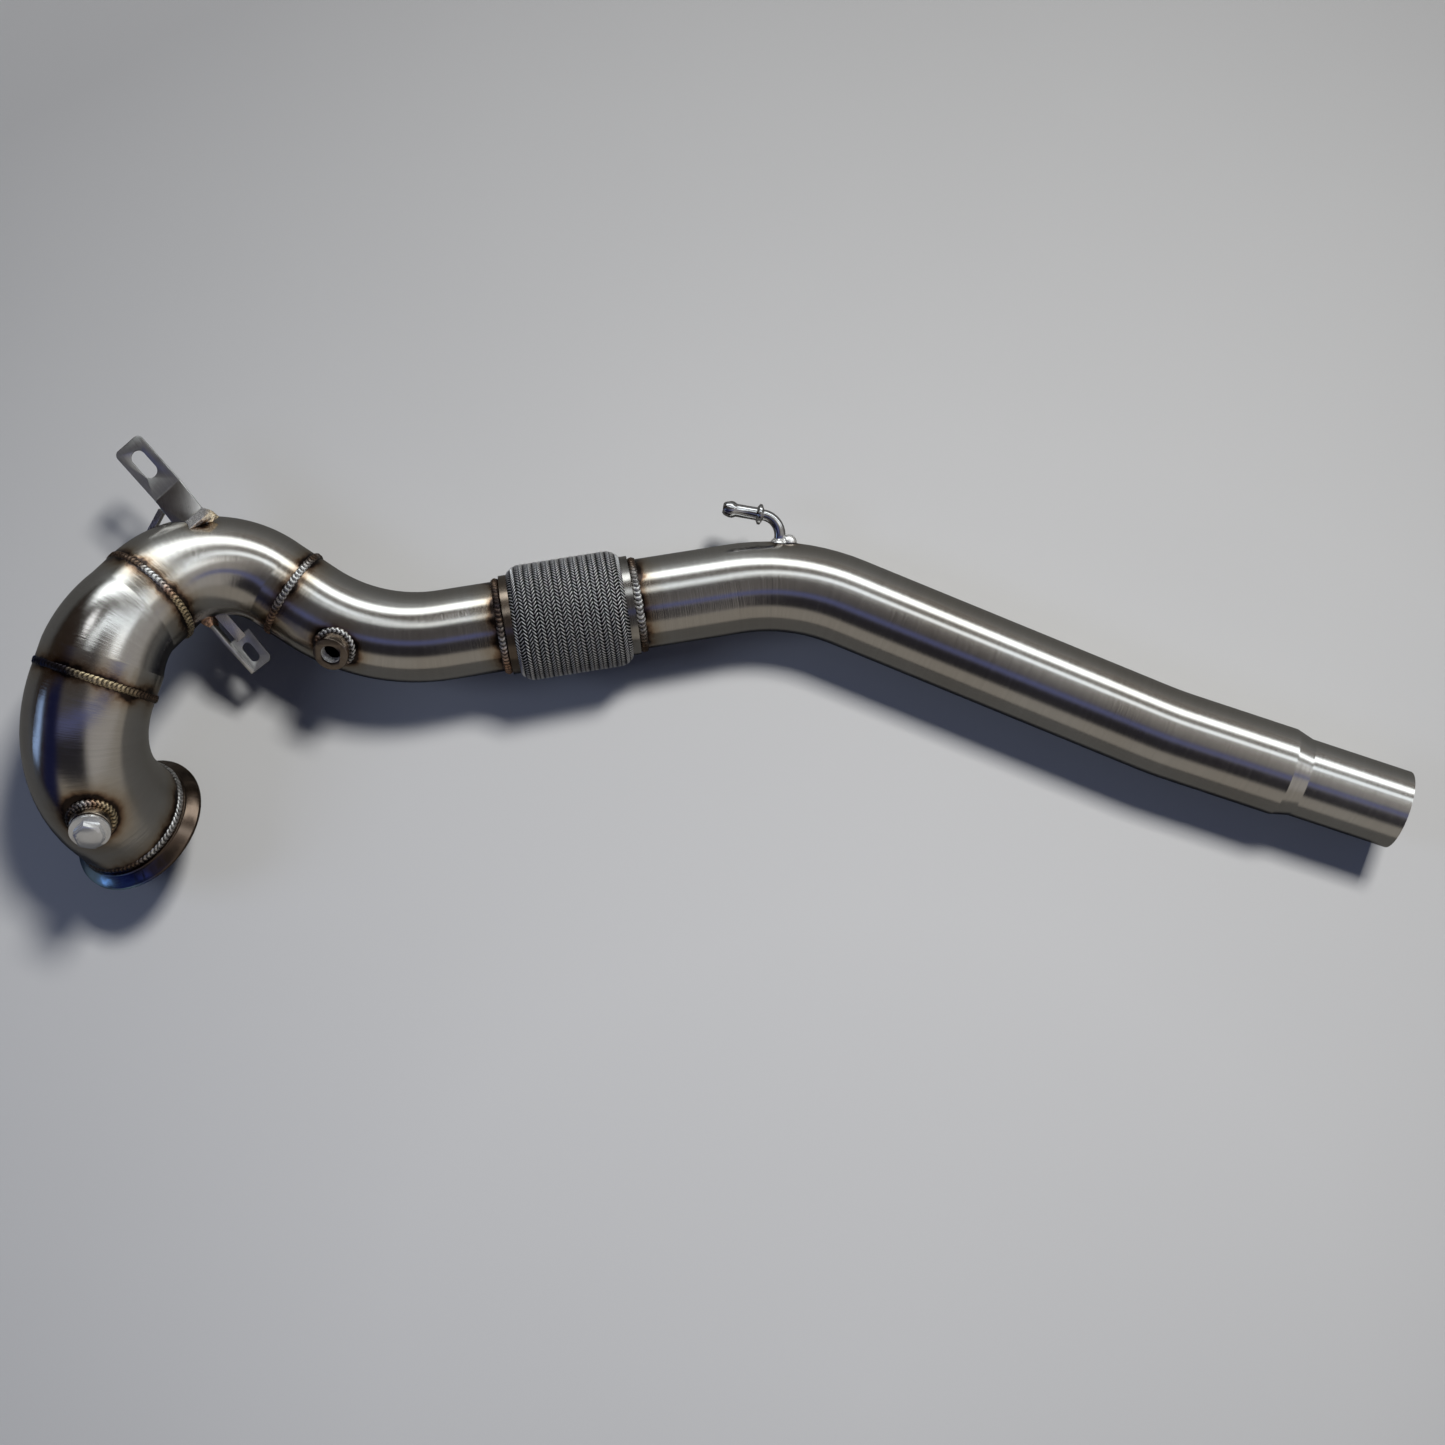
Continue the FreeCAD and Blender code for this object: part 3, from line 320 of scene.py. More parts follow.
world = bpy.data.worlds.new("studio")
bpy.context.scene.world = world
room = Finish("studio", world)
look = room.node("ShaderNodeTexCoord", {})
rightward = room.along(look, (0, 0, 0), picture_right)
upward = room.along(look, (0, 0, 0), picture_up)
height = room.along(look, (0, 0, 0), (0, 0, 1))
# Directions in degrees. swing goes from the table's far edge, over the ceiling, to its
# near edge, 0 to 180. across goes from the left wall to the right one, -90 to 90.
swing = height.maths("ARCTAN2", upward) * (180 / math.pi)
across = rightward.maths("ARCSINE") * (180 / math.pi)
walls = room.blend(across.ease(-35, 25), (0.03, 0.022, 0.017), (0.24, 0.225, 0.21))
ceiling = room.blend(across.ease(3, 22), (0.082, 0.078, 0.08), (0.38, 0.365, 0.35))
walls = room.blend(swing.ease(60, 72) * across.ease(-60, -35), walls, ceiling)
# Each patch lies over the ones before it. A band is its middle, its reach either way and
# the softness of its edge.
overhead = swing.ease(64, 76)
tilted = swing - across * 0.25
dark_strip = swing.band(129, 14, 4) * across.band(-15, 30, 8)
near_wall = swing.ease(141, 149) * across.ease(-50, -32)
blue_strip = swing.band(107, 5, 3) * across.band(0, 60, 10) * 0.85
navy_end = overhead * across.band(-47, 12, 5)
blue_end = overhead * across.band(-73, 5, 2)
left_window = swing.band(63, 5, 3) * across.band(-5, 8, 4)
right_window = swing.band(77, 6, 4) * across.band(38, 9, 4)
far_wall = swing.band(5, 12, 5) * across.band(-8, 16, 6)
long_window = tilted.band(24.5, 9, 2) * across.band(20, 48, 8)
strap_window = swing.band(49, 7, 2) * across.band(-19, 6, 2)
upper_window = tilted.band(54.5, 4.5, 2) * across.band(26, 26, 6)
for patch, colour in (
        (dark_strip, (0.025, 0.024, 0.028)), (near_wall, (0.28, 0.262, 0.235)),
        (blue_strip, (0.11, 0.13, 0.3)), (navy_end, (0.010, 0.012, 0.045)),
        (blue_end, (0.42, 0.62, 1.05)), (left_window, (1.4, 1.5, 1.55)),
        (right_window, (1.6, 1.65, 1.65)), (far_wall, (0.36, 0.375, 0.38)),
        (long_window, (2.5, 2.65, 2.7)), (strap_window, (1.8, 1.85, 1.9)),
        (upper_window, (1.7, 1.85, 1.95))):
    walls = room.blend(patch, walls, colour)
reflected = room.node("ShaderNodeLightPath", {}, out="Is Glossy Ray")
by_camera = room.node("ShaderNodeLightPath", {}, out="Is Camera Ray")
seen = room.blend(by_camera, room.blend(reflected, AMBIENT, walls), BACKDROP)
background = room.node("ShaderNodeBackground", {}, seen)
output = room.tree.nodes.new("ShaderNodeOutputWorld")
room.tree.links.new(background.socket, output.inputs[0])


# The tubes: mandrel-bent stainless, brushed round and round, so the marks are rings
# about the centreline. Heat has left straw and brown bands beside every weld.
STEEL = (0.66, 0.645, 0.62)
STEEL_WARM = (0.60, 0.565, 0.52)
TINT_REACH = 23 * MM
WELD_SMOKE = 22 * MM
SPOT_SMOKE = 12 * MM
HEAT_COLOURS = (
    (0.0, (1, 1, 1)), (0.3, (0.95, 0.92, 0.87)), (0.58, (0.82, 0.73, 0.63)),
    (0.70, (0.56, 0.43, 0.32)), (0.78, (0.30, 0.20, 0.14)), (0.84, (0.06, 0.045, 0.04)))
FINE_MARKS = 1400
COARSE_MARKS = 240


class Ring:
    """Where a ring of the CAD model lies: its centre, axis, radii and length."""

    def __init__(self, name):
        points = np.array([v.co for v in nodes[name].data.vertices])
        low, high = points.min(0), points.max(0)
        middle = points.mean(0)
        values, axes = np.linalg.eigh(np.cov((points - middle).T))
        # A ring spreads alike in two directions. The odd one out is its axis.
        apart = [abs(values[i] - values[(i + 1) % 3]) + abs(values[i] - values[(i + 2) % 3])
                 for i in range(3)]
        axis = axes[:, int(np.argmax(apart))]
        along = (points - middle) @ axis
        middle = middle + axis * (along.max() + along.min()) / 2
        flat = (points - middle) - np.outer((points - middle) @ axis, axis)
        reach = np.linalg.norm(flat, axis=1)
        self.centre = Vector(middle)
        self.axis = Vector(axis)
        self.inner = float(reach.min())
        self.outer = float(reach.max())
        self.length = float(along.max() - along.min())


rings = {name: Ring(name) for name in (
    "inlet_weld", "elbow_weld_1", "elbow_weld_2", "elbow_weld_3",
    "flex_front_weld", "flex_rear_weld", "flex_braid", "inlet_flange")}


class Bend:
    """A bend between two straights, given the points and directions of its ends."""

    def __init__(self, start, start_way, end, end_way):
        self.ahead = start_way.normalized()
        self.axis = self.ahead.cross(end_way).normalized()
        self.angle = self.ahead.angle(end_way)
        chord = (end - start).length
        self.radius = chord / 2 / math.sin(self.angle / 2)
        self.inward = self.axis.cross(self.ahead)
        self.centre = start + self.inward * self.radius
        self.end_ahead = Matrix.Rotation(self.angle, 3, self.axis) @ self.ahead

    def station(self, finish, place):
        """The distance along the tube's centreline, which grows over the bend by its arc."""
        out = finish.along(place, self.centre, -self.inward)
        on = finish.along(place, self.centre, self.ahead)
        turned = on.maths("ARCTAN2", out).maths("MAXIMUM", 0).maths("MINIMUM", self.angle)
        before = on.maths("MINIMUM", 0)
        after = finish.along(place, self.centre, self.end_ahead).maths("MAXIMUM", 0)
        return before + turned * self.radius + after


def heat_tint(finish, place, colour, weld_names, spots=()):
    """Lay the colours of heat on a tube, by the distance from its welds and bungs."""
    smoke = finish.noise(place, 45, 4, 0.6)
    for name in weld_names:
        ring = rings[name]
        away = finish.along(place, ring.centre, ring.axis).maths("ABSOLUTE")
        heat = 1 - (away + (smoke - 0.5) * WELD_SMOKE) / TINT_REACH
        colour = tinted(finish, colour, heat)
    for centre, radius, reach in spots:
        gap = finish.distance(place, centre)
        heat = 1 - (gap - radius + (smoke - 0.5) * SPOT_SMOKE) / reach
        colour = tinted(finish, colour, heat)
    return colour


def tinted(finish, colour, heat):
    """Straw, brown and black as the heat goes from 0 to 1."""
    return finish.blend(1, colour, finish.ramp(heat, *HEAT_COLOURS), "MULTIPLY")


def brushed_tube(name, bend, weld_names, spots=(), shine=0.17):
    """Brushed steel with its marks round the tube."""
    finish = Finish(name + "_steel")
    place = finish.place()
    station = bend.station(finish, place)
    slow = finish.noise(place, 9, 3)
    fine = finish.marks(place, station, FINE_MARKS, 14, 3, 0.7)
    coarse = finish.marks(place, station, COARSE_MARKS, 8, 2)
    streaks = fine * 0.7 + coarse * 0.3
    colour = finish.ramp(slow, (0.3, STEEL_WARM), (0.65, STEEL))
    colour = finish.marked(0.35, colour, streaks, 0.45, 0.25, 0.75)
    colour = heat_tint(finish, place, colour, weld_names, spots)
    rough = shine + (fine - 0.5) * 0.16 + (slow - 0.5) * 0.08
    return finish.surface(Base_Color=colour, Roughness=rough, Metallic=1.0,
                          Normal=finish.bump(streaks, 0.00012))


# Where each bend starts and ends, from the welds at the ends of its tube and the
# lengths of its straight stubs.
INLET_STUB = 6 * MM
INLET_END = 17.8 * MM
SLEEVE_RUN = 20.8 * MM
SLEEVE_COLLAR = 19.6 * MM
UPPER_STUB = 18 * MM
UPPER_END = 6 * MM
LOWER_STUB = 18.7 * MM
LOWER_RUN = 51.9 * MM
NECK_RUN = 85.9 * MM
LONG_RUN = 277.4 * MM
SLIP_LENGTH = 91.4 * MM
SWAGE_LENGTH = 15 * MM
TAIL_RUN = 88 * MM
BACK_ANGLE = math.radians(4)
BACK_RADIUS = 400 * MM


def upstream(name, towards):
    """A ring's centre and its axis, turned to point towards another ring."""
    ring = rings[name]
    axis = ring.axis
    if axis.dot(towards - ring.centre) < 0:
        axis = -axis
    return ring.centre, axis


def elbow(first, first_stub, last, last_stub):
    """The bend of a tube between two welds, walked from the first to the last."""
    start, ahead = upstream(first, rings[last].centre)
    end, back = upstream(last, rings[first].centre)
    return Bend(start + ahead * first_stub, ahead, end + back * last_stub, -back)


inlet_bend = elbow("elbow_weld_1", INLET_STUB, "inlet_weld", INLET_END)
sleeve_bend = elbow("elbow_weld_2", SLEEVE_RUN, "elbow_weld_1", SLEEVE_COLLAR)
upper_bend = elbow("elbow_weld_3", UPPER_STUB, "elbow_weld_2", UPPER_END)
lower_bend = elbow("flex_front_weld", LOWER_RUN, "elbow_weld_3", LOWER_STUB)
back_start = slip_end - slip_axis * (SLIP_LENGTH + SWAGE_LENGTH + TAIL_RUN)
back_way = Matrix.Rotation(-BACK_ANGLE, 3, "Z") @ slip_axis
back_chord = 2 * BACK_RADIUS * math.sin(BACK_ANGLE / 2)
back_end = back_start - (slip_axis + back_way).normalized() * back_chord
main_end = back_end - back_way * LONG_RUN
neck, neck_way = upstream("flex_rear_weld", main_end)
main_bend = Bend(neck + neck_way * NECK_RUN, neck_way, main_end, back_way)


def middle_of(node):
    """The middle of a CAD node's box."""
    low, high = (Vector(corner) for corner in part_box(node))
    return (low + high) / 2


# The hot spots where a fitting is welded on, beside the tubes' own welds: the middle of
# each, its radius, and how far the heat reaches beyond it.
port = mounts["sensor_port"]
port_spot = Vector(port["pos_m"])
strap_spot = middle_of("upper_bracket_weld")
plug_heat = (middle_of("plugged_bung"), 21 * MM, 24 * MM)
strap_heat = (strap_spot, 6 * MM, 12 * MM)
port_heat = (port_spot, 17 * MM, 18 * MM)
nozzle_heat = (middle_of("hose_nozzle_weld"), 9 * MM, 12 * MM)

lay(nodes["inlet_elbow"], brushed_tube(
    "inlet_elbow", inlet_bend, ("inlet_weld", "elbow_weld_1"), [plug_heat]))
lay(nodes["reducing_sleeve"], brushed_tube(
    "reducing_sleeve", sleeve_bend, ("elbow_weld_1", "elbow_weld_2")))
lay(nodes["upper_elbow"], brushed_tube(
    "upper_elbow", upper_bend, ("elbow_weld_2", "elbow_weld_3"), [strap_heat]))
lay(nodes["lower_elbow"], brushed_tube(
    "lower_elbow", lower_bend, ("elbow_weld_3", "flex_front_weld"), [port_heat]))
lay(nodes["outlet_pipe"], brushed_tube(
    "outlet_pipe", main_bend, ("flex_rear_weld",), [nozzle_heat]))


# Butt welds: a bead of overlapping round puddles, each one's front edge a crescent,
# laid round the joint by hand with filler wire. The crowns are silver, gold or copper,
# and black or navy where the steel got too hot.
PUDDLE_PITCH = 3.9 * MM
STEPS_A_PUDDLE = 9
BEAD_SIDES = 12
BEAD_SINK = 0.5 * MM
CRESCENT = 0.7
RIPPLE = 0.75
KNOTS_A_RING = 59
FRONT_SHARE = 0.3
ROUNDING = 0.7
GAP_SHADE = (0.012, 0.009, 0.008)
SILVER = (0.95, 0.94, 0.92)
GOLD = (0.92, 0.74, 0.46)
COPPER = (0.85, 0.52, 0.34)
UMBER = (0.24, 0.16, 0.11)
SOOT = (0.035, 0.03, 0.04)
NAVY = (0.03, 0.05, 0.16)
chance = np.random.default_rng(7)


def bead_metal(name, middle, way, radius, colours):
    """Weld metal whose colours run from one side of the ring to the other."""
    finish = Finish(name + "_metal")
    place = finish.place()
    ripple = finish.node("ShaderNodeAttribute", {"attribute_name": "ripple"}, out=2)
    patch = finish.noise(place, 90, 3, 0.6)
    speck = finish.noise(place, 1100, 2)
    side = finish.along(place, middle, way) * (0.5 / radius) + 0.5 + (patch - 0.5) * 0.35
    stops = [((index + 0.5) / len(colours), colour) for index, colour in enumerate(colours)]
    colour = finish.ramp(side, *stops)
    # Painted shade, near black, in the gaps between the puddles.
    colour = finish.blend(ripple, GAP_SHADE, colour)
    return finish.surface(Base_Color=colour, Roughness=0.2 + speck * 0.14, Metallic=0.85,
                          Normal=finish.bump(speck, 0.00005))


def bead_blank(name, count):
    """A ring of the right number of facets, one metre in radius, to be shaped."""
    bpy.ops.object.select_all(action="DESELECT")
    bpy.ops.mesh.primitive_torus_add(
        major_segments=count * STEPS_A_PUDDLE, minor_segments=BEAD_SIDES,
        major_radius=1, minor_radius=0.5)
    piece = bpy.context.object
    points = np.empty(len(piece.data.vertices) * 3)
    piece.data.vertices.foreach_get("co", points)
    points = points.reshape(-1, 3)
    angle = np.arctan2(points[:, 1], points[:, 0])
    section = np.stack([np.hypot(points[:, 0], points[:, 1]) - 1, points[:, 2]], 1) / 0.5
    # Each puddle overlaps the one before: 1 at its crown, 0 in the gap at its front.
    turns = angle * count / (2 * math.pi) + CRESCENT * section[:, 1] ** 2
    phase = turns % 1.0
    level = np.minimum(phase / FRONT_SHARE, (1 - phase) / (1 - FRONT_SHARE)) ** ROUNDING
    # The gaps get painted shade, near black, and no two crowns are equally bright.
    gleam = chance.uniform(0.55, 1.0, count)[np.floor(turns).astype(int) % count]
    ripple = np.clip(level * 1.9 - 0.65, 0, 1) * gleam
    attribute = piece.data.attributes.new("ripple", "FLOAT", "POINT")
    attribute.data.foreach_set("value", ripple.astype(np.float32))
    return piece, angle, section, level


def set_points(piece, points):
    """Move a piece's vertices to new places."""
    piece.data.vertices.foreach_set("co", np.asarray(points, float).ravel())
    piece.data.update()
    bpy.ops.object.shade_smooth()


def wander(angle, spread):
    """A slow uneven change round a ring, as a hand makes it."""
    knots = chance.normal(0, spread, KNOTS_A_RING)
    places = np.linspace(-math.pi, math.pi, KNOTS_A_RING + 1)
    return np.interp(angle, places, np.append(knots, knots[0]))


def butt_weld(node, way, colours):
    """A rippled bead in the place of a CAD ring."""
    ring = rings[node]
    count = round(2 * math.pi * ring.inner / PUDDLE_PITCH)
    piece, angle, section, level = bead_blank(node, count)
    lateral = section[:, 1]
    crown = (ring.outer - ring.inner) * np.clip(section[:, 0], 0, 1) ** ROUNDING
    # The crown wanders, and stays a little below the CAD ring's.
    crown = crown * np.minimum(0.92 + wander(angle, 0.06), 0.98)
    lift = np.where(section[:, 0] > 0, crown * (1 - RIPPLE + RIPPLE * level), -BEAD_SINK)
    half = ring.length / 2 * (1 + wander(angle, 0.04)) * (0.93 + 0.07 * level)
    side = ring.axis.orthogonal().normalized()
    other = ring.axis.cross(side)
    reach = ring.inner + lift
    set_points(piece, np.array(ring.centre) + np.outer(reach * np.cos(angle), side)
               + np.outer(reach * np.sin(angle), other) + np.outer(half * lateral, ring.axis))
    metal = bead_metal(node, ring.centre, way, ring.outer, colours)
    return lay(piece, metal, node + "_bead", (node,))


butt_weld("inlet_weld", picture_right + picture_up, (UMBER, UMBER, SILVER, SILVER, SILVER))
butt_weld("elbow_weld_1", picture_right, (NAVY, SOOT, SOOT, GOLD, GOLD, UMBER))
butt_weld("elbow_weld_2", picture_right - picture_up, (UMBER, UMBER, SILVER, SILVER, COPPER, GOLD))
butt_weld("elbow_weld_3", -picture_up, (UMBER, SILVER, SILVER, UMBER, COPPER))
butt_weld("flex_front_weld", -picture_up, (UMBER, SOOT, UMBER, SILVER, COPPER))
butt_weld("flex_rear_weld", -picture_up, (UMBER, SILVER, SILVER, SILVER, UMBER))


# Clamp flange: turned from stainless bar, with a cone for the band clamp and a thin
# rim. The welder's heat has left it brown, and it turns blue and then pale blue towards
# the lower left.
EDGE_BREAK = 0.25 * MM
BREAK_ANGLE = math.radians(28)
SAME_POINT = 0.001 * MM
SAME_PLANE = math.radians(0.4)
FLANGE_MARKS = 2500
FLANGE_COLOURS = (
    (0.2, (0.17, 0.125, 0.095)), (0.5, (0.14, 0.11, 0.11)), (0.75, (0.16, 0.22, 0.50)),
    (0.9, (0.45, 0.68, 0.90)))


def copy_of(node):
    """A free copy of a CAD node, to be worked on."""
    bpy.ops.object.select_all(action="DESELECT")
    nodes[node].select_set(True)
    bpy.context.view_layer.objects.active = nodes[node]
    bpy.ops.object.duplicate()
    piece = bpy.context.object
    for key in [key for key in piece.keys() if key.startswith("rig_")]:
        del piece[key]
    return piece


def broken_edges(node, metal, width=EDGE_BREAK):
    """A copy of a CAD node with its sharp edges broken, as on the real piece."""
    piece = copy_of(node)
    bpy.ops.object.mode_set(mode="EDIT")
    bpy.ops.mesh.select_all(action="SELECT")
    bpy.ops.mesh.remove_doubles(threshold=SAME_POINT)
    bpy.ops.mesh.dissolve_limited(angle_limit=SAME_PLANE)
    bpy.ops.object.mode_set(mode="OBJECT")
    bevel = piece.modifiers.new("broken", "BEVEL")
    bevel.width = width
    bevel.segments = 2
    bevel.limit_method = "ANGLE"
    bevel.angle_limit = BREAK_ANGLE
    bpy.ops.object.modifier_apply(modifier="broken")
    bpy.ops.object.shade_smooth_by_angle(angle=BREAK_ANGLE)
    return lay(piece, metal, node + "_finished", (node,))


flange = rings["inlet_flange"]
finish = Finish("turned_flange")
place = finish.place()
stand = finish.along(place, flange.centre, flange.axis)
turned = finish.marks(place, stand, FLANGE_MARKS, 6, 2)
stain = finish.noise(place, 28, 3, 0.6)
blue_side = -picture_up - picture_right * 0.4
toward_blue = finish.along(place, flange.centre, blue_side) * (1 / flange.outer)
heat = finish.ramp(toward_blue + (stain - 0.5) * 0.5, *FLANGE_COLOURS)
heat = finish.marked(0.3, heat, turned)
flange_steel = finish.surface(Base_Color=heat, Roughness=0.16 + turned * 0.1, Metallic=1.0,
                              Normal=finish.bump(turned, 0.00006))
broken_edges("inlet_flange", flange_steel)


# Sensor bungs: short turned bosses with an M18 fine thread, set into the tube and
# welded all round with a fillet of small puddles. One is open and one has its plug.
PLUG_BOSS = 17 * MM
PLUG_FILLET = 4.6 * MM
OPEN_BOSS = 15 * MM
OPEN_FILLET = 3.6 * MM
FILLET_ROUND = 0.62
FILLET_OUT = 0.30
FILLET_RIPPLE = 0.45
ABOVE_THE_TUBE = 60 * MM
LATHE_MARKS = 5000
BROWN_STAIN = (0.45, 0.38, 0.30)
BUNG_BREAK = 0.5 * MM
PLUG_BREAK = 0.35 * MM


def turned_steel(name, colour, rough, middle, axis, stain_share=0.25, metal=1.0):
    """Bright steel off the lathe, its marks square to the axis."""
    finish = Finish(name)
    place = finish.place()
    cuts = finish.marks(place, finish.along(place, middle, axis), LATHE_MARKS, 20, 2)
    stain = finish.noise(place, 110, 3, 0.6)
    shade = finish.ramp(stain, (0.3, BROWN_STAIN), (0.65, (1, 1, 1)))
    tone = finish.marked(0.3, finish.blend(stain_share, colour, shade, "MULTIPLY"), cuts, 0.6)
    return finish.surface(Base_Color=tone, Roughness=rough + (cuts - 0.5) * 0.08, Metallic=metal,
                          Normal=finish.bump(cuts, 0.00003))


def surface_of(node):
    """Something to cast rays on: the tube that a fitting stands on."""
    mesh = nodes[node].data
    return BVHTree.FromPolygons([v.co for v in mesh.vertices], [p.vertices for p in mesh.polygons])


def fillet_weld(node, carrier, middle, axis, radius, size, way, colours):
    """A rippled fillet round a boss, which follows the tube's curved surface."""
    skin = surface_of(carrier)
    count = round(2 * math.pi * (radius + size / 2) / PUDDLE_PITCH)
    piece, angle, section, level = bead_blank(node, count)
    side = axis.orthogonal().normalized()
    other = axis.cross(side)
    feet = {}
    points = []
    for turned, (out, up), share in zip(angle, section, level):
        key = round(turned, 5)
        if key not in feet:
            away = side * math.cos(turned) + other * math.sin(turned)
            found = []
            for reach in (radius, radius + size):
                start = middle + axis * ABOVE_THE_TUBE + away * reach
                hit = skin.ray_cast(start, -axis)[0]
                found.append(hit if hit else middle + away * reach)
            feet[key] = found
        foot, toe = feet[key]
        run = toe - foot
        swell = size * FILLET_ROUND * (1 - RIPPLE * FILLET_RIPPLE * (1 - share))
        points.append(foot + run * FILLET_OUT + axis * size * FILLET_OUT
                      + run.normalized() * out * swell + axis * up * swell)
    set_points(piece, points)
    metal = bead_metal(node, middle, way, radius + size, colours)
    return lay(piece, metal, node + "_bead", (node,))


plug = Ring("bung_plug")
plug_axis = plug.axis if plug.axis.z > 0 else -plug.axis
port_axis = Vector(port["axis"])
port_axis = port_axis if port_axis.z > 0 else -port_axis
fillet_weld("plugged_bung_weld", "inlet_elbow", plug.centre, plug_axis, PLUG_BOSS, PLUG_FILLET,
            picture_right + picture_up * 0.3, (SOOT, UMBER, SILVER, COPPER, GOLD))
fillet_weld("open_bung_weld", "lower_elbow", port_spot, port_axis, OPEN_BOSS, OPEN_FILLET,
            picture_right + picture_up, (UMBER, SOOT, COPPER, SILVER, SILVER))
straw_steel = turned_steel("plugged_boss", (0.50, 0.44, 0.37), 0.18, plug.centre, plug_axis, 0.6)
brown_steel = turned_steel("open_boss", (0.24, 0.20, 0.17), 0.2, port_spot, port_axis, 0.5)
zinc = turned_steel("bright_zinc", (0.84, 0.85, 0.86), 0.2, plug.centre, plug_axis, 0.1, 0.82)
copper = turned_steel("soft_washer", (0.55, 0.42, 0.33), 0.3, plug.centre, plug_axis)
broken_edges("plugged_bung", straw_steel, BUNG_BREAK)
broken_edges("open_bung", brown_steel, BUNG_BREAK)
broken_edges("bung_plug", zinc, PLUG_BREAK)
lay(nodes["plug_washer"], copper)

# The thread in the open bung: a ridge wound six times round the bore, with closed ends.
THREAD_PITCH = 1.5 * MM
THREAD_TURNS = 6
THREAD_DEPTH = 0.4 * MM
THREAD_STEPS = 48
bore = port["dims"]["r_mm"] * MM
bpy.ops.object.select_all(action="DESELECT")
bpy.ops.mesh.primitive_circle_add(vertices=3, radius=THREAD_DEPTH, location=(bore, 0, 0))
thread = bpy.context.object
bpy.ops.object.mode_set(mode="EDIT")
bpy.ops.mesh.select_all(action="SELECT")
bpy.ops.transform.rotate(value=math.radians(90), orient_axis="X", center_override=(bore, 0, 0))
bpy.ops.object.mode_set(mode="OBJECT")
bpy.ops.object.transform_apply(location=True, rotation=True, scale=True)
wind = thread.modifiers.new("wind", "SCREW")
wind.axis = "Z"
wind.screw_offset = THREAD_PITCH
wind.iterations = THREAD_TURNS
wind.steps = THREAD_STEPS
wind.render_steps = THREAD_STEPS
wind.use_normal_calculate = True
bpy.ops.object.modifier_apply(modifier="wind")
bpy.ops.object.mode_set(mode="EDIT")
bpy.ops.mesh.select_all(action="SELECT")
bpy.ops.mesh.fill_holes(sides=3)
bpy.ops.mesh.normals_make_consistent(inside=False)
bpy.ops.object.mode_set(mode="OBJECT")
stand_on = port_axis.to_track_quat("Z", "Y").to_matrix().to_4x4()
low_end = port_spot - port_axis * (THREAD_TURNS * THREAD_PITCH / 2)
thread.data.transform(Matrix.Translation(low_end) @ stand_on)
bpy.ops.object.shade_smooth()
lay(thread, zinc, "open_bung_thread")


# Brackets: strips of stainless plate, sawn, bent and slotted, tacked on with a rough
# blob of weld. Their faces are brushed along the strip and their sawn edges are broken.
PLATE_MARKS = 2500
STRAP_BREAK = 0.4 * MM
STAY_BREAK = 0.3 * MM
LUMP_SIZE = 4.5 * MM
LUMP_HEIGHT = 0.9 * MM
plate_heat = (strap_spot, 3 * MM, 8 * MM)


def plate_steel(name, colour, way, rough=0.26):
    """Flat steel brushed one way."""
    finish = Finish(name)
    place = finish.place()
    square = way.orthogonal().normalized()
    brush = finish.marks(place, finish.along(place, (0, 0, 0), square), PLATE_MARKS, 30, 3)
    stain = finish.noise(place, 60, 3, 0.6)
    tone = finish.ramp(stain, (0.3, tuple(0.72 * part for part in colour)), (0.7, colour))
    tone = finish.marked(0.35, tone, brush)
    tone = heat_tint(finish, place, tone, (), [plate_heat])
    return finish.surface(Base_Color=tone, Roughness=rough + (brush - 0.5) * 0.14, Metallic=1.0,
                          Normal=finish.bump(brush, 0.00004))


def tack_weld(node, colours, coarse=0.7 * MM):
    """A rough blob of weld: the CAD puddle, roughened all over."""
    piece = copy_of(node)
    remesh = piece.modifiers.new("skin", "REMESH")
    remesh.mode = "VOXEL"
    remesh.voxel_size = coarse
    bpy.ops.object.modifier_apply(modifier="skin")
    lumps = bpy.data.textures.new(node + "_lumps", "CLOUDS")
    lumps.noise_scale = LUMP_SIZE
    rough = piece.modifiers.new("lumps", "DISPLACE")
    rough.texture = lumps
    rough.strength = LUMP_HEIGHT
    bpy.ops.object.modifier_apply(modifier="lumps")
    bpy.ops.object.shade_smooth()
    mesh = piece.data
    # The blob gets no painted gap shade.
    attribute = mesh.attributes.new("ripple", "FLOAT", "POINT")
    attribute.data.foreach_set("value", np.ones(len(mesh.vertices), np.float32))
    low, high = (Vector(corner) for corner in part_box(node))
    metal = bead_metal(node, (low + high) / 2, picture_right, (high - low).length / 2, colours)
    return lay(piece, metal, node + "_blob", (node,))


strap_way = turn @ Vector((-0.55, 0.83, 0))
strap_plate = plate_steel("strap_plate", (0.80, 0.79, 0.77), strap_way, 0.3)
rib_plate = plate_steel("rib_plate", (0.50, 0.48, 0.46), picture_up)
stay_plate = plate_steel("stay_plate", (0.82, 0.81, 0.79), strap_way, 0.36)
brace_plate = plate_steel("brace_plate", (0.58, 0.55, 0.52), picture_up)
broken_edges("upper_bracket", strap_plate, STRAP_BREAK)
broken_edges("upper_bracket_rib", rib_plate, STAY_BREAK)
broken_edges("lower_bracket", stay_plate, STAY_BREAK)
broken_edges("lower_bracket_brace", brace_plate, STAY_BREAK)
tack_weld("upper_bracket_weld", (SILVER, SILVER, SILVER, GOLD))
tack_weld("lower_bracket_weld", (SOOT, UMBER, COPPER, UMBER))


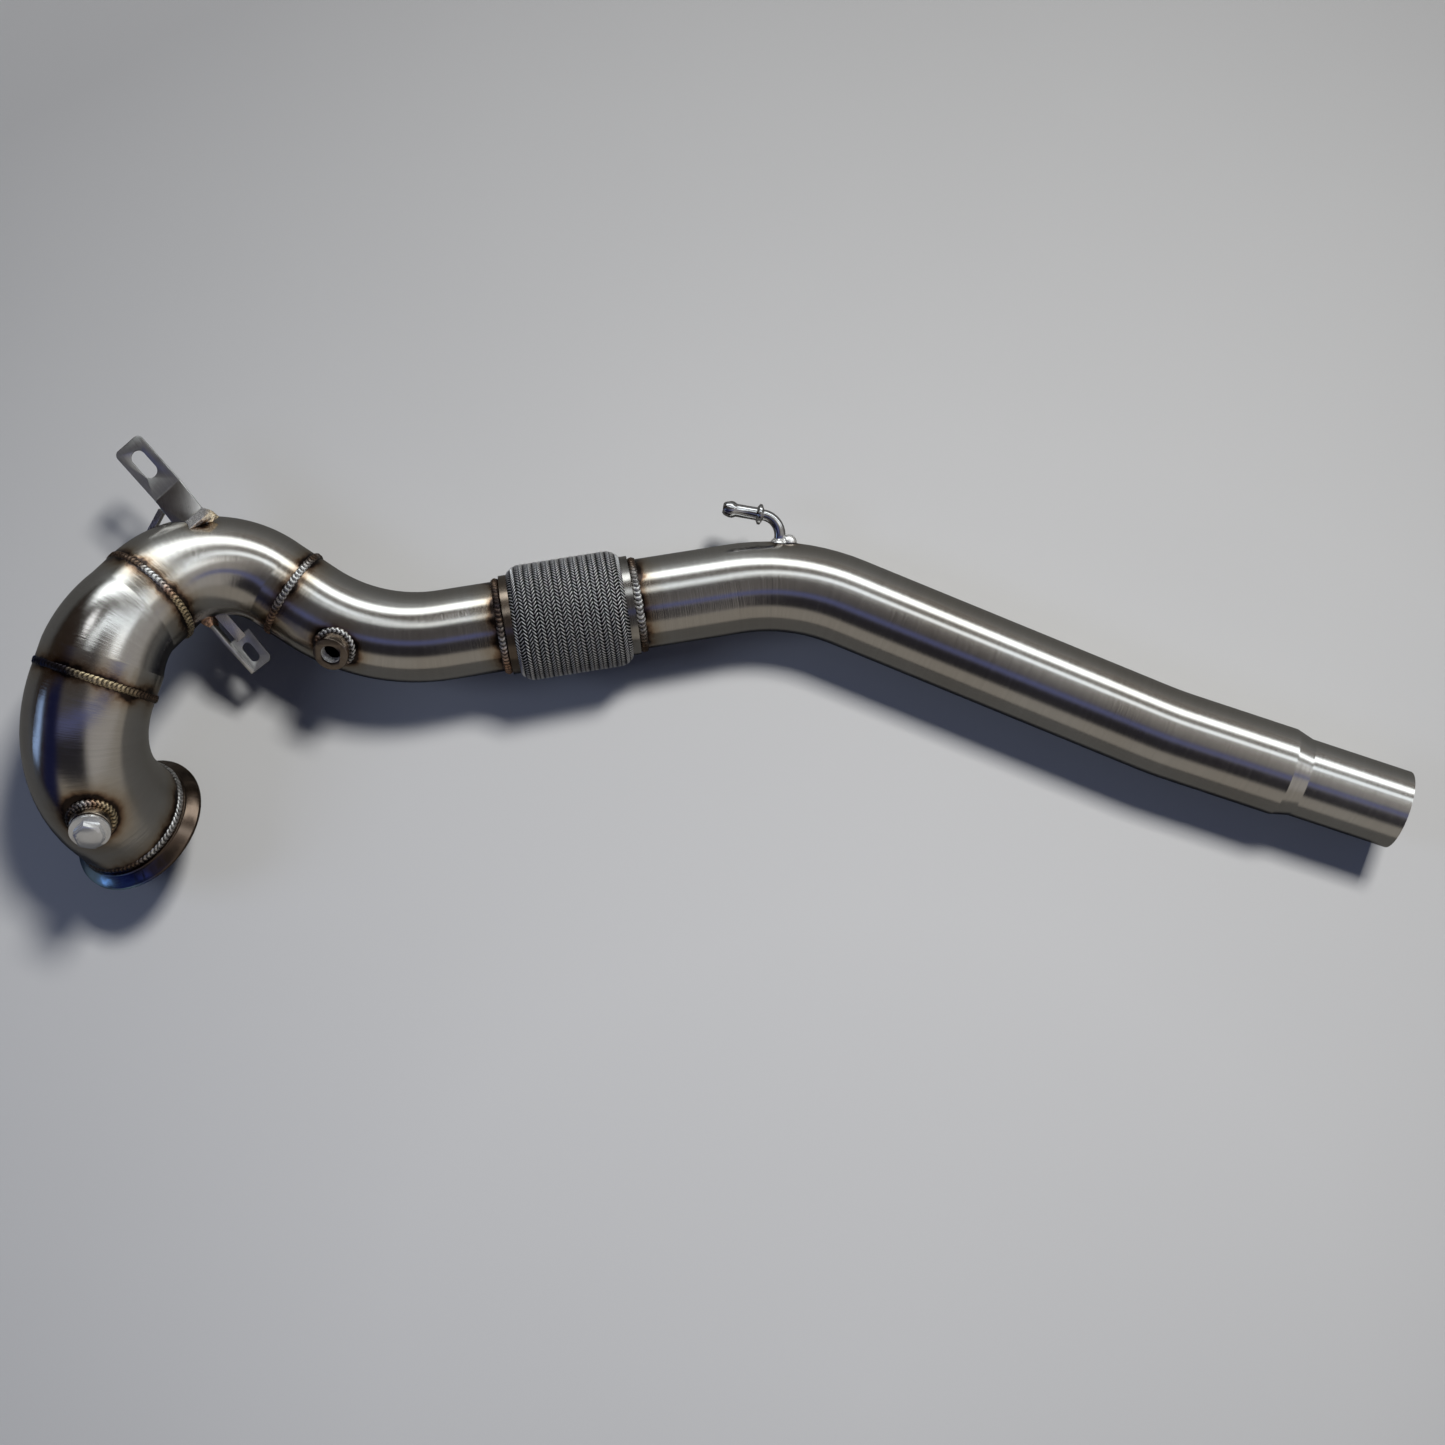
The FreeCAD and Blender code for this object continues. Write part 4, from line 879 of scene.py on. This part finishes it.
# Hose nozzle: a thin bright tube bent over, with a turned collar and a rounded head,
# brazed into the pipe with one large bright blob.
NOZZLE_BREAK = 0.5 * MM
BRAZE_GRAIN = 0.45 * MM
nozzle_low = Vector(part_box("hose_nozzle")[0])
bright_tube = turned_steel(
    "bright_nozzle", (0.62, 0.62, 0.63), 0.08, nozzle_low, Vector((1, 0, 0)), 0.15)
broken_edges("hose_nozzle", bright_tube, NOZZLE_BREAK)
tack_weld("hose_nozzle_weld", (SILVER, SILVER, SILVER), BRAZE_GRAIN)


# Flex coupling: thin steel bellows and a liner between two rolled collars, under a
# braid. The front collar is brown from the welder's heat, and the bellows are painted
# near black as the shade under the braid.
ROLLED_MARKS = 2500


def coupling_steel(name, colour, rough):
    """Rolled steel, its marks round the coupling."""
    finish = Finish(name)
    place = finish.place()
    stand = finish.along(place, rings["flex_braid"].centre, rings["flex_braid"].axis)
    rolled = finish.marks(place, stand, ROLLED_MARKS, 12, 3)
    stain = finish.noise(place, 45, 4, 0.6)
    tone = finish.ramp(stain, (0.35, tuple(0.5 * part for part in colour)), (0.7, colour))
    tone = finish.marked(0.3, tone, rolled)
    return finish.surface(Base_Color=tone, Roughness=rough + (rolled - 0.5) * 0.1, Metallic=1.0,
                          Normal=finish.bump(rolled, 0.00006))


lay(nodes["flex_front_collar"], coupling_steel("front_collar", (0.30, 0.24, 0.19), 0.2))
lay(nodes["flex_rear_collar"], coupling_steel("rear_collar", (0.62, 0.59, 0.55), 0.18))
lay(nodes["flex_liner"], coupling_steel("liner", (0.36, 0.33, 0.30), 0.35))
# Painted shade: the bellows under the braid are near black.
lay(nodes["flex_bellows"], coupling_steel("bellows", (0.07, 0.065, 0.06), 0.4))

# The braid: two families of round stainless wire wound opposite ways over the bellows,
# each passing over the other for one band and under it for the next.
WIRE_RADIUS = 0.5 * MM
WIRE_LEAN = math.radians(50)
WIRE_SPACING = 3.3 * MM
BAND_WIDTH = 3.9 * MM
WEAVE_DEPTH = 0.85 * MM
SHOULDER = 12 * MM
COLLAR_RADIUS = 42 * MM
BRAID_INSET = 0.25 * MM
POINTS_A_BAND = 6
PLATEAU = 1.5

braid = rings["flex_braid"]
crown_radius = braid.outer - WIRE_RADIUS - WEAVE_DEPTH - BRAID_INSET
braid_drop = braid.outer - COLLAR_RADIUS
shoulder_curve = (SHOULDER ** 2 + braid_drop ** 2) / (2 * braid_drop)
wire_count = round(2 * math.pi * crown_radius / WIRE_SPACING)
band_count = round(braid.length / BAND_WIDTH)


def braid_height(x):
    """The barrel's radius below its crown, x metres from the middle."""
    beyond = max(abs(x) - (braid.length / 2 - SHOULDER), 0)
    return shoulder_curve - math.sqrt(shoulder_curve ** 2 - beyond ** 2)


finish = Finish("braid_wire")
place = finish.place()
spark = finish.noise(place, 500, 2)
lift = finish.node("ShaderNodeAttribute", {"attribute_name": "lift"}, out=2)
bright = finish.ramp(spark, (0.3, (0.75, 0.76, 0.78)), (0.7, (1, 1, 1)))
# Painted shade: the wires turn near black where they sink under the other family.
shade = finish.ramp(lift, (0.62, (0.006, 0.006, 0.01)), (0.8, (0.22, 0.22, 0.23)), (0.9, (1, 1, 1)))
wire_colour = finish.blend(1, bright, shade, "MULTIPLY")
braid_metal = finish.surface(Base_Color=wire_colour, Roughness=0.28, Metallic=0.85)


def braid_family(name, hand):
    """One wire, modelled as a curve with a round section, then repeated round the axis."""
    total = band_count * POINTS_A_BAND
    curve = bpy.data.curves.new(name, "CURVE")
    curve.dimensions = "3D"
    curve.bevel_depth = WIRE_RADIUS
    curve.bevel_resolution = 0
    curve.use_fill_caps = True
    spline = curve.splines.new("POLY")
    spline.points.add(total)
    for index in range(total + 1):
        x = (index / total - 0.5) * braid.length
        wave = hand * min(max(PLATEAU * math.sin(math.pi * index / POINTS_A_BAND), -1), 1)
        radius = crown_radius - braid_height(x) + WEAVE_DEPTH * wave
        angle = hand * x * math.tan(WIRE_LEAN) / crown_radius
        spline.points[index].co = (radius * math.cos(angle), radius * math.sin(angle), x, 1)
    wire = bpy.data.objects.new(name, curve)
    bpy.context.scene.collection.objects.link(wire)
    bpy.ops.object.select_all(action="DESELECT")
    wire.select_set(True)
    bpy.context.view_layer.objects.active = wire
    bpy.ops.object.convert(target="MESH")
    wire = bpy.context.object
    # How high each point lies in the weave, 0 to 1, for the painted shade between the wires.
    half = braid.length / 2
    heights = []
    for vertex in wire.data.vertices:
        drop = braid_height(min(max(vertex.co.z, -half), half))
        rise = math.hypot(vertex.co.x, vertex.co.y) - crown_radius + drop
        heights.append(rise / (WEAVE_DEPTH + WIRE_RADIUS) * 0.5 + 0.5)
    attribute = wire.data.attributes.new("lift", "FLOAT", "POINT")
    attribute.data.foreach_set("value", np.array(heights, np.float32))
    step = bpy.data.objects.new(name + "_step", None)
    step.rotation_euler = (0, 0, 2 * math.pi / wire_count)
    bpy.context.scene.collection.objects.link(step)
    array = wire.modifiers.new("round", "ARRAY")
    array.count = wire_count
    array.use_relative_offset = False
    array.use_object_offset = True
    array.offset_object = step
    bpy.context.view_layer.update()
    bpy.ops.object.modifier_apply(modifier="round")
    bpy.data.objects.remove(step)
    turn_to = braid.axis.to_track_quat("Z", "Y").to_matrix().to_4x4()
    wire.data.transform(Matrix.Translation(braid.centre) @ turn_to)
    bpy.ops.object.shade_smooth()
    return lay(wire, braid_metal, name, ("flex_braid",))


braid_family("braid_left_wires", 1)
braid_family("braid_right_wires", -1)
